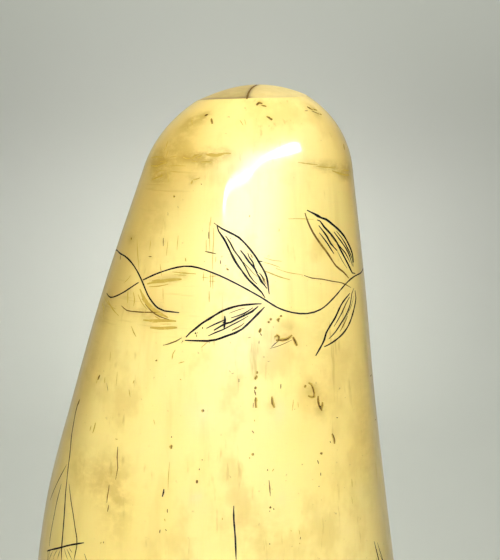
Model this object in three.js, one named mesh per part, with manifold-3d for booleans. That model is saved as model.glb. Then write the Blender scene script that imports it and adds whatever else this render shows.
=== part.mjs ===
// A whale tooth with old line engraving, standing tip up on its sawn root.
// Millimetres, +Z up. Angles round the tooth start at its front (-Y) and grow towards +X.
import * as THREE from 'three';
import { mergeVertices } from 'three/addons/utils/BufferGeometryUtils.js';
import Module from 'manifold-3d';

// Overall form.
const LENGTH = 160.6;            // root to tip before the tip wore down
const WIDTH = 69.92;             // side to side at the widest
const DEPTH_RATIO = 0.78;        // front-to-back thickness over side-to-side width
const SECTION_POWER = 2.3;       // a little squarer than an ellipse
const DOME = 18.6;               // height of the rounded tip
const TIP_POWER = 0.562;         // 0.5 would be an ellipse, more is more pointed
const ROOT_EASE = 0.8;           // eased edge of the sawn root
const COLUMNS = 48;
const STRAIGHT_ROWS = 18;
const DOME_ROWS = 10;

// Rows are given by shares of the length and the width, and used in millimetres.
const measured = (rows) => rows.map(([up, ...across]) => [up * LENGTH, ...across.map((v) => v * WIDTH)]);

// Side-to-side run of the tooth: height, centre x, half width.
const RUN = measured([
  [0, 0.0572, 0.4362], [0.187, 0.0229, 0.4891], [0.386, 0, 0.5], [0.529, 0.0003, 0.4564],
  [0.654, 0.0217, 0.3962], [0.778, 0.0505, 0.335], [0.912, 0.0858, 0.258],
]);
// Front-to-back lean of the centre: height, centre y.
const LEAN = measured([
  [0, -0.0114], [0.249, -0.0014], [0.405, 0], [0.529, -0.0043], [0.654, -0.0157], [0.778, -0.0329],
  [0.912, -0.0558],
]);

// Soft ridge down the right of the front: angle, spread, rise over the section, heights it fades between.
const RIDGE = {
  angle: 60, spread: 9, rise: 0.016,
  from: 0.52 * LENGTH, full: 0.7 * LENGTH, fade: 0.85 * LENGTH, until: 0.93 * LENGTH,
};

// Worn facet across the tip: it rises towards the back, less so at its sides, and bows both ways.
const FACET = {
  x: 0.1121 * WIDTH, y: -0.0715 * WIDTH, z: LENGTH - 0.98, rise: 0.222,
  easeX: 0.183 * WIDTH, bowX: 0.3388 * WIDTH, bowY: 0.5146 * WIDTH,
};
const FACET_REACH = { side: 0.2 * WIDTH, up: 8, steps: 16 };
// The fissure across the facet, as steps in plan from the facet's middle.
const FISSURE = [[-2.1, -7.8], [-1.9, -5.5], [-1.55, -3.1], [-1.05, -0.7], [-0.5, 1.4], [-0.2, 3.2]];

// Hollow that the pulp left, open at the root: half width at the mouth, depth, eased mouth.
const ROOT_WALL = 9.5;
const HOLLOW = {
  mouth: RUN[0][2] - ROOT_WALL, depth: 0.4 * LENGTH, ease: 0.7,
  x: RUN[0][1], y: LEAN[0][1], tipX: 0.0086 * WIDTH,
};

// Engraved strokes: half width and depth of the V cut.
const LINE = { half: 0.26, depth: 0.32 };
const FINE = { half: 0.2, depth: 0.25 };
const CRACK = { half: 0.34, depth: 0.6 };
const SMALLEST = 0.02;           // slivers under this are closed up

const TAU = Math.PI * 2;
const rad = (degrees) => degrees * Math.PI / 180;

// Smooth curve through rows of [height, value...], read at one column.
function along(rows, column, height) {
  const last = rows.length - 1;
  const slope = (i) => (rows[i + 1][column] - rows[i][column]) / (rows[i + 1][0] - rows[i][0]);
  const tangent = (i) => {
    if (i === 0) return slope(0);
    if (i === last) return slope(last - 1);
    const before = rows[i][0] - rows[i - 1][0];
    const after = rows[i + 1][0] - rows[i][0];
    return (slope(i - 1) * after + slope(i) * before) / (before + after);
  };
  if (height >= rows[last][0]) return rows[last][column];
  let i = 0;
  while (i < last - 1 && height > rows[i + 1][0]) i += 1;
  const step = rows[i + 1][0] - rows[i][0];
  const t = Math.max(0, (height - rows[i][0]) / step);
  const t2 = t * t;
  const t3 = t2 * t;
  return (2 * t3 - 3 * t2 + 1) * rows[i][column] + (t3 - 2 * t2 + t) * step * tangent(i)
    + (3 * t2 - 2 * t3) * rows[i + 1][column] + (t3 - t2) * step * tangent(i + 1);
}

// Beyond its last row the centre line runs on straight.
function runOn(rows, column, height) {
  const last = rows.length - 1;
  const slope = (rows[last][column] - rows[last - 1][column]) / (rows[last][0] - rows[last - 1][0]);
  return along(rows, column, height) + Math.max(0, height - rows[last][0]) * slope;
}

// Half width at a height, with the tip rounded over.
function halfWidth(height) {
  const start = RUN[RUN.length - 1][0];
  const round = (z) => Math.max(0, 1 - ((z - LENGTH + DOME) / DOME) ** 2) ** TIP_POWER;
  return along(RUN, 2, height) * round(Math.max(height, start)) / round(start);
}

function ridgeRise(angle, height) {
  const away = (angle - RIDGE.angle) / RIDGE.spread;
  const rising = THREE.MathUtils.smoothstep(height, RIDGE.from, RIDGE.full);
  const falling = 1 - THREE.MathUtils.smoothstep(height, RIDGE.fade, RIDGE.until);
  return RIDGE.rise * rising * falling * Math.exp(-away * away);
}

// A point of the outside, from its angle in degrees and its height.
function skin(angle, height, inset = 0) {
  const turn = ((angle + 180) % 360 + 360) % 360 - 180;
  const side = Math.sin(rad(turn));
  const front = Math.cos(rad(turn));
  const power = Math.abs(side) ** SECTION_POWER + Math.abs(front) ** SECTION_POWER;
  const reach = power ** (-1 / SECTION_POWER) * (1 + ridgeRise(turn, height));
  const width = halfWidth(height) - inset;
  return new THREE.Vector3(
    runOn(RUN, 1, height) + width * reach * side,
    runOn(LEAN, 1, height) - width * DEPTH_RATIO * reach * front,
    height,
  );
}

function skinNormal(angle, height) {
  const round = skin(angle + 1, height).sub(skin(angle - 1, height));
  const up = skin(angle, height + 0.5).sub(skin(angle, height - 0.5));
  return round.cross(up).normalize();
}

// Closed shell from rings of points, each end closed to a middle point.
function shell(rings, bottom, top) {
  const columns = rings[0].length;
  const points = rings.flat();
  points.push(bottom, top);
  const index = [];
  for (let i = 0; i < columns; i += 1) {
    const j = (i + 1) % columns;
    const high = (rings.length - 1) * columns;
    for (let r = 0; r < rings.length - 1; r += 1) {
      const low = r * columns;
      index.push(low + i, low + j, low + columns + j, low + i, low + columns + j, low + columns + i);
    }
    index.push(points.length - 2, j, i);
    index.push(points.length - 1, high + i, high + j);
  }
  const position = points.flatMap((p) => [p.x, p.y, p.z]);
  const geometry = new THREE.BufferGeometry();
  geometry.setAttribute('position', new THREE.Float32BufferAttribute(position, 3));
  geometry.setIndex(index);
  return geometry;
}

function toothBody() {
  const start = LENGTH - DOME;
  const heights = [ROOT_EASE];
  for (let row = 1; row <= STRAIGHT_ROWS; row += 1) heights.push(start * row / STRAIGHT_ROWS);
  for (let row = 1; row < DOME_ROWS; row += 1) {
    heights.push(start + DOME * Math.sin(Math.PI / 2 * row / DOME_ROWS));
  }
  const angles = Array.from({ length: COLUMNS }, (_, i) => i * 360 / COLUMNS);
  const rings = [angles.map((a) => skin(a, 0, ROOT_EASE))];
  heights.forEach((z) => rings.push(angles.map((a) => skin(a, z))));
  const foot = new THREE.Vector3(RUN[0][1], LEAN[0][1], 0);
  return shell(rings, foot, skin(0, LENGTH));
}

function hollowCutter() {
  const steps = [[-1, 1 + (HOLLOW.ease + 1) / HOLLOW.mouth], [HOLLOW.ease, 0.995]];
  for (const t of [0.12, 0.25, 0.4, 0.55, 0.7, 0.83, 0.93, 0.98]) {
    steps.push([HOLLOW.depth * t, Math.sqrt(1 - t) * (1 - 0.35 * t)]);
  }
  const columns = 24;
  const rings = steps.map(([z, size]) => {
    const middle = THREE.MathUtils.lerp(HOLLOW.x, HOLLOW.tipX, Math.max(0, z) / HOLLOW.depth);
    return Array.from({ length: columns }, (_, i) => {
      const turn = i * TAU / columns;
      const reach = HOLLOW.mouth * size;
      return new THREE.Vector3(
        middle + reach * Math.sin(turn), HOLLOW.y - reach * DEPTH_RATIO * Math.cos(turn), z,
      );
    });
  });
  return shell(rings, new THREE.Vector3(HOLLOW.x, HOLLOW.y, -1),
    new THREE.Vector3(HOLLOW.tipX, HOLLOW.y, HOLLOW.depth));
}

// Height of the facet over a place in plan.
function facetHeight(x, y) {
  const dx = x - FACET.x;
  const dy = y - FACET.y;
  const rise = FACET.rise * (1 - (dx / FACET.easeX) ** 2);
  return FACET.z + rise * dy - dx * dx / (2 * FACET.bowX) - dy * dy / (2 * FACET.bowY);
}

// Everything above the facet: rings of the same plan, the lowest on the facet.
function facetCutter() {
  const { side, up, steps } = FACET_REACH;
  const count = steps + 1;
  const points = [];
  for (let layer = 0; layer < 2; layer += 1) {
    for (let row = 0; row < count; row += 1) {
      for (let column = 0; column < count; column += 1) {
        const x = FACET.x + side * (2 * column / steps - 1);
        const y = FACET.y + side * (2 * row / steps - 1);
        points.push(x, y, layer ? FACET.z + up : facetHeight(x, y));
      }
    }
  }
  const top = count * count;
  const index = [];
  const quad = (a, b, c, d) => index.push(a, b, c, a, c, d);
  for (let row = 0; row < steps; row += 1) {
    for (let column = 0; column < steps; column += 1) {
      const k = row * count + column;
      quad(k, k + count, k + count + 1, k + 1);
      quad(top + k, top + k + 1, top + k + count + 1, top + k + count);
    }
    const last = steps * count;
    quad(row, row + 1, top + row + 1, top + row);
    quad(last + row + 1, last + row, top + last + row, top + last + row + 1);
    const left = row * count;
    const right = left + steps;
    quad(left + count, left, top + left, top + left + count);
    quad(right, right + count, top + right + count, top + right);
  }
  const geometry = new THREE.BufferGeometry();
  geometry.setAttribute('position', new THREE.Float32BufferAttribute(points, 3));
  geometry.setIndex(index);
  return geometry;
}

// V-shaped cutter along points that lie on the surface, narrowing to both ends.
function vCutter(points, normals, { half, depth }, lift = 0.5) {
  const count = points.length;
  const position = [];
  points.forEach((point, i) => {
    const before = points[Math.max(0, i - 1)];
    const after = points[Math.min(count - 1, i + 1)];
    const ahead = after.clone().sub(before).normalize();
    const normal = normals[i];
    const across = ahead.clone().cross(normal).normalize();
    const end = i === 0 || i === count - 1 ? 0.4 : 1;
    const down = depth * end;
    const wide = half * end * (1 + lift / down);
    const top = point.clone().addScaledVector(normal, lift);
    const floor = point.clone().addScaledVector(normal, -down);
    const left = top.clone().addScaledVector(across, -wide);
    const right = top.clone().addScaledVector(across, wide);
    position.push(...left.toArray(), ...right.toArray(), ...floor.toArray());
  });
  const index = [0, 2, 1];
  for (let i = 0; i < count - 1; i += 1) {
    const a = i * 3;
    for (let k = 0; k < 3; k += 1) {
      const m = (k + 1) % 3;
      index.push(a + k, a + m, a + 3 + m, a + k, a + 3 + m, a + 3 + k);
    }
  }
  const e = (count - 1) * 3;
  index.push(e, e + 1, e + 2);
  const geometry = new THREE.BufferGeometry();
  geometry.setAttribute('position', new THREE.Float32BufferAttribute(position, 3));
  geometry.setIndex(index);
  return geometry;
}

function engrave(path, cut) {
  const points = path.map(([a, z]) => skin(a, z));
  const normals = path.map(([a, z]) => skinNormal(a, z));
  return vCutter(points, normals, cut);
}

// The vine winds right round about its level, as [angle, height over the level].
// It starts low at the left of the front, and its hooked end crosses that start.
const VINE_LEVEL = 0.79 * LENGTH;
const VINE = [[-64.5, -2.4], [-58.5, -2.8], [-51, -1.9], [-39.8, 0.8], [-32, 2.3], [-20, 3.5],
  [-8.5, 2.4], [0, 0.95], [11.2, -1.45], [18.5, -3.25], [24.5, -4.05], [30.5, -4.25], [36, -3.7],
  [42.5, -2.05], [49.2, -0.25], [54, 0.65], [64.5, 1.15], [80, 1.3], [100, -1.5], [115, -4.3],
  [127, -5.1], [140, -4.3], [160, -0.8], [182, 1.9], [205, -0.8], [224, -4.3], [236, -5.1],
  [247, -4.2], [262, -0.4], [275, 3.6], [285, 4.7], [298, 4.5], [305, 4.2], [310.5, 3.5],
  [315, 2.5], [320.2, 0.75], [325, -1.45], [330.8, -3.35], [339.8, -3.9]];
const VINE_STEP = 8;             // degrees between points
const CROSSING_GAP = [-41.4, -39.8];

function vineHeight(angle) {
  return VINE_LEVEL + along(VINE, 1, angle);
}

function vinePath(from, to) {
  const steps = Math.max(2, Math.round((to - from) / VINE_STEP));
  return Array.from({ length: steps + 1 }, (_, i) => {
    const angle = from + (to - from) * i / steps;
    return [angle, vineHeight(angle)];
  });
}

// Lines of the four front leaves, edges first, as [angle, height over the level].
const FRONT_LEAVES = [
  [
    [[-11.2, 10.1], [-4.8, 8.9], [3.2, 6.9], [9.5, 3.9], [13, 1.2], [14, -0.9]],
    [[-10.8, 9.9], [-7, 7.9], [-2, 5], [5.5, 1.4], [12.5, -1.5]],
    [[-6.5, 8.4], [-2, 6.1], [3.5, 3.5], [9, 0.7]],
  ],
  [
    [[-16, -7.8], [-10.8, -5.5], [-4.5, -3.7], [2.2, -2.7], [11.2, -2.4]],
    [[-16.2, -8.3], [-7.8, -8.3], [2, -7], [8, -4.9], [12.5, -2.9]],
    [[-6, -6.6], [0, -5.3], [5.5, -4.1], [10, -2.8]],
  ],
  [
    [[29.8, 12.3], [37.2, 11], [43.5, 9.9], [51, 7.8], [56.2, 4.8], [57, 1.4]],
    [[28.8, 11.9], [32.8, 8.6], [40.2, 5.1], [48.8, 1.9], [52.2, 0.7]],
    [[35, 10.7], [42.5, 8.3], [50.5, 4.2], [55, 1.5]],
  ],
  [
    [[52.2, -1.8], [45, -4.1], [39.8, -6.7], [36.8, -8.9], [33, -11.3]],
    [[56, -1.5], [56, -3.2], [51, -6.6], [43.8, -8.9], [36.8, -10]],
    [[53.5, -1.9], [48.8, -5.3], [39, -8.8]],
  ],
];
const BACK_NODES = [102, 150, 194, 242];
const LEAF_STEPS = 4;
const LEAF_UP = [[0, 0.8], [-25, 11.6], [-1, 9.2], [-16, 4.6]];
const LEAF_DOWN = [[0, -0.8], [-25, -10.6], [0.5, -6.4], [-20, -4.2]];

function bow([start, end, pull], steps) {
  return Array.from({ length: steps + 1 }, (_, i) => {
    const t = i / steps;
    const mix = (k) => (1 - t) ** 2 * start[k] + 2 * t * (1 - t) * pull[k] + t * t * end[k];
    return [mix(0), mix(1)];
  });
}

// The plainer leaves round the back: [root, tip, bow of one edge, bow of the other].
function plainLeaf([root, tip, oneBow, otherBow], steps) {
  const middle = [(oneBow[0] + otherBow[0]) / 2, (oneBow[1] + otherBow[1]) / 2];
  const stop = [root[0] + (tip[0] - root[0]) * 0.8, root[1] + (tip[1] - root[1]) * 0.8];
  return [bow([root, tip, oneBow], steps), bow([root, tip, otherBow], steps), bow([root, stop, middle], 3)];
}

// Ships are drawn flat in millimetres, then laid on the tooth: place, heel in degrees, strokes.
const HALF_TURN = 180;
function lay([x, y], { angle, height, heel }) {
  const c = Math.cos(rad(heel));
  const s = Math.sin(rad(heel));
  const across = x * c - y * s;
  const up = x * s + y * c;
  const z = height + up;
  const girth = halfWidth(z) * 0.92;
  return [angle + across / girth * HALF_TURN / Math.PI, z];
}

const FULL_SHIP = {
  angle: -38, height: 0.311 * LENGTH, heel: 12,
  strokes: [
    [[0, 1.5], [0.2, 15], [0.5, 28], [1.1, 42], [1.3, 57]],
    [[-11, 1.6], [-11, 12], [-11, 24]],
    [[10.5, 2.2], [10.6, 12], [10.7, 23]],
    [[-17, 1.8], [-8, 0.6], [2, 0.6], [12, 2], [18, 4.2]],
    [[-17, 1.8], [-16, -3.4], [-9, -5.6], [2, -6], [11, -4.6], [15.5, -1], [18, 4.2]],
    [[18, 4.2], [25, 8.6]],
    [[-5, 30.6], [-4.6, 24], [-8.2, 16.6]],
    [[6, 31.4], [8.4, 24], [8, 16.8]],
    [[-8.2, 16.6], [0, 17.6], [8, 16.8]],
  ],
};
// The tall mast's yard and the ropes about it, as [angle, height over their level].
const RIG_LEVEL = 0.498 * LENGTH;
const RIGGING = [
  [[-60, -1.4], [-51, 1], [-40, 3.7]],
  [[-57.5, 14.8], [-61, 11.7], [-65.8, 7]],
  [[-58, 11.2], [-58.5, 7.5], [-58.8, 0.2]],
  [[-52.5, 12.1], [-46.5, 7.4], [-43, 2.8]],
];
const BRIG = {
  angle: 13, height: 0.249 * LENGTH, heel: 4,
  strokes: [
    [[0, 1], [-0.1, 16], [-0.2, 32], [-0.3, 52]],
    [[13, 1.4], [13, 14], [12.9, 33]],
    [[-10, 1.4], [-2, 0.4], [10, 0.5], [18, 2.4], [22, 4.6]],
    [[-10, 1.4], [-9.2, -3.4], [-2, -5], [10, -4.8], [17.6, -1.6], [22, 4.6]],
    [[22, 4.6], [29, 8.4]],
    [[-6, 33], [0, 33.4], [6, 33]],
    [[-6, 33], [-5, 26], [-7, 19]],
    [[6, 33], [6.6, 26], [5.4, 19.2]],
    [[-7, 19], [-1, 20], [5.4, 19.2]],
    [[8, 25], [13, 25.3], [18, 25]],
    [[8, 25], [8.6, 19], [7.4, 13]],
    [[18, 25], [18.8, 19], [18.6, 13]],
    [[7.4, 13], [13, 13.8], [18.6, 13]],
  ],
};
const CUTTER_BOAT = {
  angle: 69, height: 0.324 * LENGTH, heel: 13,
  strokes: [
    [[0, 0.8], [0, 14], [-0.1, 30]],
    [[-7, 1.6], [0, 0.6], [8, 2.2]],
    [[-7, 1.6], [-5.6, -2.2], [2, -3], [8, 2.2]],
    [[-0.6, 27], [-7.5, 14], [-8.8, 4]],
    [[-8.8, 4], [-0.6, 3]],
    [[0.5, 27], [9.5, 3.4]],
  ],
};

// Waves lie level under each ship: steps in angle and height from the ship's own place.
const WAVES = [
  { ship: FULL_SHIP, steps: [[-32, -9], [-16, -12], [2, -11.5], [26, -16.5]] },
  { ship: BRIG, steps: [[-7, -9], [11, -9], [31, -7]] },
  { ship: CUTTER_BOAT, steps: [[-7, -6], [11, -5]] },
];

function wavePath(angle, height) {
  return [0, 1, 2, 3, 4].map((k) => [angle + (k - 2) * 3.6, height + (k % 2 ? 0.8 : 0)]);
}

function strokes() {
  const list = [
    { path: vinePath(VINE[0][0], CROSSING_GAP[0]), cut: LINE },
    { path: vinePath(CROSSING_GAP[1], VINE[VINE.length - 1][0]), cut: LINE },
  ];
  const moved = (path, angle, height) => path.map(([a, z]) => [angle + a, height + z]);
  const addLeaf = ([one, other, vein]) => {
    list.push({ path: one, cut: LINE }, { path: other, cut: LINE }, { path: vein, cut: FINE });
  };
  FRONT_LEAVES.forEach((leaf) => addLeaf(leaf.map((path) => moved(path, 0, VINE_LEVEL))));
  BACK_NODES.forEach((angle) => {
    const height = vineHeight(angle);
    addLeaf(plainLeaf(moved(LEAF_UP, angle, height), LEAF_STEPS));
    addLeaf(plainLeaf(moved(LEAF_DOWN, angle, height), LEAF_STEPS));
  });
  RIGGING.forEach((path) => list.push({ path: moved(path, 0, RIG_LEVEL), cut: FINE }));
  [FULL_SHIP, BRIG, CUTTER_BOAT].forEach((ship) => {
    ship.strokes.forEach((line) => list.push({ path: line.map((p) => lay(p, ship)), cut: FINE }));
  });
  WAVES.forEach(({ ship, steps }) => {
    steps.forEach(([da, dz]) => {
      list.push({ path: wavePath(ship.angle + da, ship.height + dz), cut: FINE });
    });
  });
  return list;
}

function fissureCutter() {
  const points = FISSURE.map(([dx, dy]) => {
    const x = FACET.x + dx;
    const y = FACET.y + dy;
    return new THREE.Vector3(x, y, facetHeight(x, y));
  });
  const up = new THREE.Vector3(0, -FACET.rise, 1).normalize();
  return vCutter(points, points.map(() => up), CRACK, 1.5);
}

const wasm = await Module();
wasm.setup();

function solid(geometry) {
  const plain = geometry.clone();
  plain.deleteAttribute('normal');
  plain.deleteAttribute('uv');
  const merged = mergeVertices(plain, 1e-4);
  return new wasm.Manifold(new wasm.Mesh({
    numProp: 3,
    vertProperties: new Float32Array(merged.attributes.position.array),
    triVerts: new Uint32Array(merged.index.array),
  }));
}

function carvedTooth() {
  let tooth = solid(toothBody());
  tooth = tooth.subtract(solid(facetCutter()));
  tooth = tooth.subtract(solid(hollowCutter()));
  tooth = tooth.subtract(solid(fissureCutter()));
  strokes().forEach(({ path, cut }) => {
    tooth = tooth.subtract(solid(engrave(path, cut)));
  });
  return tooth.simplify(SMALLEST);
}

// Stands on z = 0 with its box centred on the origin in plan.
function centred(geometry) {
  geometry.computeBoundingBox();
  const { min, max } = geometry.boundingBox;
  geometry.translate(-(min.x + max.x) / 2, -(min.y + max.y) / 2, -min.z);
  return geometry;
}

function toGeometry(manifold) {
  const mesh = manifold.getMesh();
  const geometry = new THREE.BufferGeometry();
  geometry.setAttribute('position', new THREE.Float32BufferAttribute(Array.from(mesh.vertProperties), 3));
  geometry.setIndex(Array.from(mesh.triVerts));
  return centred(geometry);
}

const ivory = new THREE.MeshStandardMaterial({ color: 0xf3e2a4, roughness: 0.3 });
const tooth = new THREE.Mesh(toGeometry(carvedTooth()), ivory);
tooth.name = 'tooth';

const group = new THREE.Group();
group.name = 'scrimshaw_whale_tooth';
group.add(tooth);

export default group;
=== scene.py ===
# A scrimshaw whale tooth, polished and yellowed, with its engraving inked dark.
# The form is worked out in millimetres as the solid is, then scaled to metres.
# Angles round the tooth start at its front (-Y) and grow towards +X.
import math

import bmesh
import bpy
import numpy as np
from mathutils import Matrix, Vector


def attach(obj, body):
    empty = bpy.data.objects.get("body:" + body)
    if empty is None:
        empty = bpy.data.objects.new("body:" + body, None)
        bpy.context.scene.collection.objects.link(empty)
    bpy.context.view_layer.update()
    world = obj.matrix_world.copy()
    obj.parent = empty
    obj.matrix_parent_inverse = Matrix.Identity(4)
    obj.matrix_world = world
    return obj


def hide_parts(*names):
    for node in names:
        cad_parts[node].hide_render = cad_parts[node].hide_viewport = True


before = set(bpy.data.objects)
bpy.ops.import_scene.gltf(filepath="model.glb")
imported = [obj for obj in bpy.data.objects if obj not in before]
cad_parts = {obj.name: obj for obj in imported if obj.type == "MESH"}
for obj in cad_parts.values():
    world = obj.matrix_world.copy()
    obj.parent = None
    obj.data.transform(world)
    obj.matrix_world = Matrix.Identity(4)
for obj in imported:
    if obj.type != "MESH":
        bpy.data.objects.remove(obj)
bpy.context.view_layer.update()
MM = 0.001
RANDOM = np.random.default_rng(7)


def measured(rows):
    """Rows given by shares of the length and of the width, in millimetres."""
    return [(up * LENGTH,) + tuple(v * WIDTH for v in across) for up, *across in rows]


# Overall form, the same values as the solid's.
LENGTH = 160.6
WIDTH = 69.92
DEPTH_RATIO = 0.78
SECTION_POWER = 2.3
DOME = 18.6
TIP_POWER = 0.562
ROOT_EASE = 0.8
RUN = measured([
    (0, 0.0572, 0.4362), (0.187, 0.0229, 0.4891), (0.386, 0, 0.5), (0.529, 0.0003, 0.4564),
    (0.654, 0.0217, 0.3962), (0.778, 0.0505, 0.335), (0.912, 0.0858, 0.258),
])
LEAN = measured([
    (0, -0.0114), (0.249, -0.0014), (0.405, 0), (0.529, -0.0043), (0.654, -0.0157),
    (0.778, -0.0329), (0.912, -0.0558),
])
RIDGE = {
    "angle": 60, "spread": 9, "rise": 0.016,
    "from": 0.52, "full": 0.7, "fade": 0.85, "until": 0.93,
}
FACET = {
    "x": 0.1121 * WIDTH, "y": -0.0715 * WIDTH, "z": LENGTH - 0.98, "rise": 0.222,
    "ease_x": 0.183 * WIDTH, "bow_x": 0.3388 * WIDTH, "bow_y": 0.5146 * WIDTH,
}
FACET_REACH = {"side": 0.2 * WIDTH, "up": 8, "steps": 80}
FISSURE = [(-2.1, -7.8), (-1.9, -5.5), (-1.55, -3.1), (-1.05, -0.7), (-0.5, 1.4), (-0.2, 3.2)]
ROOT_WALL = 9.5
HOLLOW = {
    "mouth": RUN[0][2] - ROOT_WALL, "depth": 0.4 * LENGTH, "pinch": 0.35,
    "x": RUN[0][1], "y": LEAN[0][1], "tip_x": 0.0086 * WIDTH,
}

# Mesh density.
COLUMNS = 240
STRAIGHT_ROWS = 150
DOME_ROWS = 26
HOLLOW_ROWS = 34
HOLLOW_SHARES = {"first": 0.012, "span": 0.983}
# The ring that rounds the sawn edge, and the rings between it and the hollow's mouth.
EDGE_RING = {"at": 0.3, "inset": 0.35 * ROOT_EASE, "height": 0.25}
ROOT_SHARES = (0.33, 0.66)
MOUTH_LIP = 1.03


# Form

def smoothstep(value, low, high):
    t = np.clip((value - low) / (high - low), 0, 1)
    return t * t * (3 - 2 * t)


def along(rows, column, height):
    """Smooth curve through rows of height and values, read at one column."""
    z = np.array([row[0] for row in rows], float)
    v = np.array([row[column] for row in rows], float)
    slope = np.diff(v) / np.diff(z)
    step = np.diff(z)
    tangent = np.empty(len(z))
    tangent[0] = slope[0]
    tangent[-1] = slope[-1]
    tangent[1:-1] = (slope[:-1] * step[1:] + slope[1:] * step[:-1]) / (step[:-1] + step[1:])
    height = np.asarray(height, float)
    held = np.clip(height, z[0], z[-1])
    i = np.clip(np.searchsorted(z, held) - 1, 0, len(z) - 2)
    t = (held - z[i]) / step[i]
    t2 = t * t
    t3 = t2 * t
    return ((2 * t3 - 3 * t2 + 1) * v[i] + (t3 - 2 * t2 + t) * step[i] * tangent[i]
            + (3 * t2 - 2 * t3) * v[i + 1] + (t3 - t2) * step[i] * tangent[i + 1])


def run_on(rows, column, height):
    """The same curve, running on straight beyond its last row."""
    slope = (rows[-1][column] - rows[-2][column]) / (rows[-1][0] - rows[-2][0])
    beyond = np.maximum(0, np.asarray(height, float) - rows[-1][0])
    return along(rows, column, height) + beyond * slope


def half_width(height):
    start = RUN[-1][0]
    height = np.asarray(height, float)

    def roundness(z):
        return np.maximum(0, 1 - ((z - LENGTH + DOME) / DOME) ** 2) ** TIP_POWER

    return along(RUN, 2, height) * roundness(np.maximum(height, start)) / roundness(start)


def skin(angle, height, inset=0.0):
    """Points of the outside, in millimetres, from angles in degrees and heights."""
    turn = (np.asarray(angle, float) + 180) % 360 - 180
    height = np.asarray(height, float) + 0 * turn
    side = np.sin(np.radians(turn))
    front = np.cos(np.radians(turn))
    power = np.abs(side) ** SECTION_POWER + np.abs(front) ** SECTION_POWER
    rising = smoothstep(height, RIDGE["from"] * LENGTH, RIDGE["full"] * LENGTH)
    falling = 1 - smoothstep(height, RIDGE["fade"] * LENGTH, RIDGE["until"] * LENGTH)
    off_ridge = (turn - RIDGE["angle"]) / RIDGE["spread"]
    ridge = RIDGE["rise"] * rising * falling * np.exp(-off_ridge ** 2)
    reach = power ** (-1 / SECTION_POWER) * (1 + ridge)
    width = half_width(height) - inset
    x = run_on(RUN, 1, height) + width * reach * side
    y = run_on(LEAN, 1, height) - width * DEPTH_RATIO * reach * front
    return np.stack([x, y, height], -1)


def skin_normal(angle, height):
    angle = np.asarray(angle, float)
    height = np.asarray(height, float)
    around = skin(angle + 0.5, height) - skin(angle - 0.5, height)
    up = skin(angle, height + 0.3) - skin(angle, height - 0.3)
    normal = np.cross(around, up)
    return normal / np.linalg.norm(normal, axis=-1, keepdims=True)


def outer_heights():
    start = LENGTH - DOME
    straight = [start * row / STRAIGHT_ROWS for row in range(1, STRAIGHT_ROWS + 1)]
    dome = [start + DOME * math.sin(math.pi / 2 * row / DOME_ROWS) for row in range(1, DOME_ROWS)]
    return [ROOT_EASE] + straight + dome


def hollow_ring(angles, share):
    """A ring of the pulp hollow's wall, at a share of its depth."""
    size = math.sqrt(max(0.0, 1 - share)) * (1 - HOLLOW["pinch"] * share)
    reach = HOLLOW["mouth"] * size
    middle = HOLLOW["x"] + (HOLLOW["tip_x"] - HOLLOW["x"]) * share
    turn = np.radians(angles)
    return np.stack([
        middle + reach * np.sin(turn),
        HOLLOW["y"] - reach * DEPTH_RATIO * np.cos(turn),
        np.full(len(angles), HOLLOW["depth"] * share),
    ], -1)


def plan_shift():
    """The solid is centred on the origin in plan, so the same shift is used here."""
    points = skin(*np.meshgrid(np.arange(0, 360, 1.5), np.array(outer_heights())))
    low = points.reshape(-1, 3).min(0)
    high = points.reshape(-1, 3).max(0)
    return np.array([-(low[0] + high[0]) / 2, -(low[1] + high[1]) / 2, 0.0])


SHIFT = plan_shift()


def metres(points):
    return (np.asarray(points) + SHIFT) * MM


def new_object(name, vertices, faces, materials, smooth=True):
    mesh = bpy.data.meshes.new(name)
    mesh.from_pydata([tuple(v) for v in vertices], [], [tuple(f) for f in faces])
    mesh.polygons.foreach_set("use_smooth", [smooth] * len(mesh.polygons))
    for material in materials:
        mesh.materials.append(material)
    mesh.update()
    obj = bpy.data.objects.new(name, mesh)
    bpy.context.scene.collection.objects.link(obj)
    return obj


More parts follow.
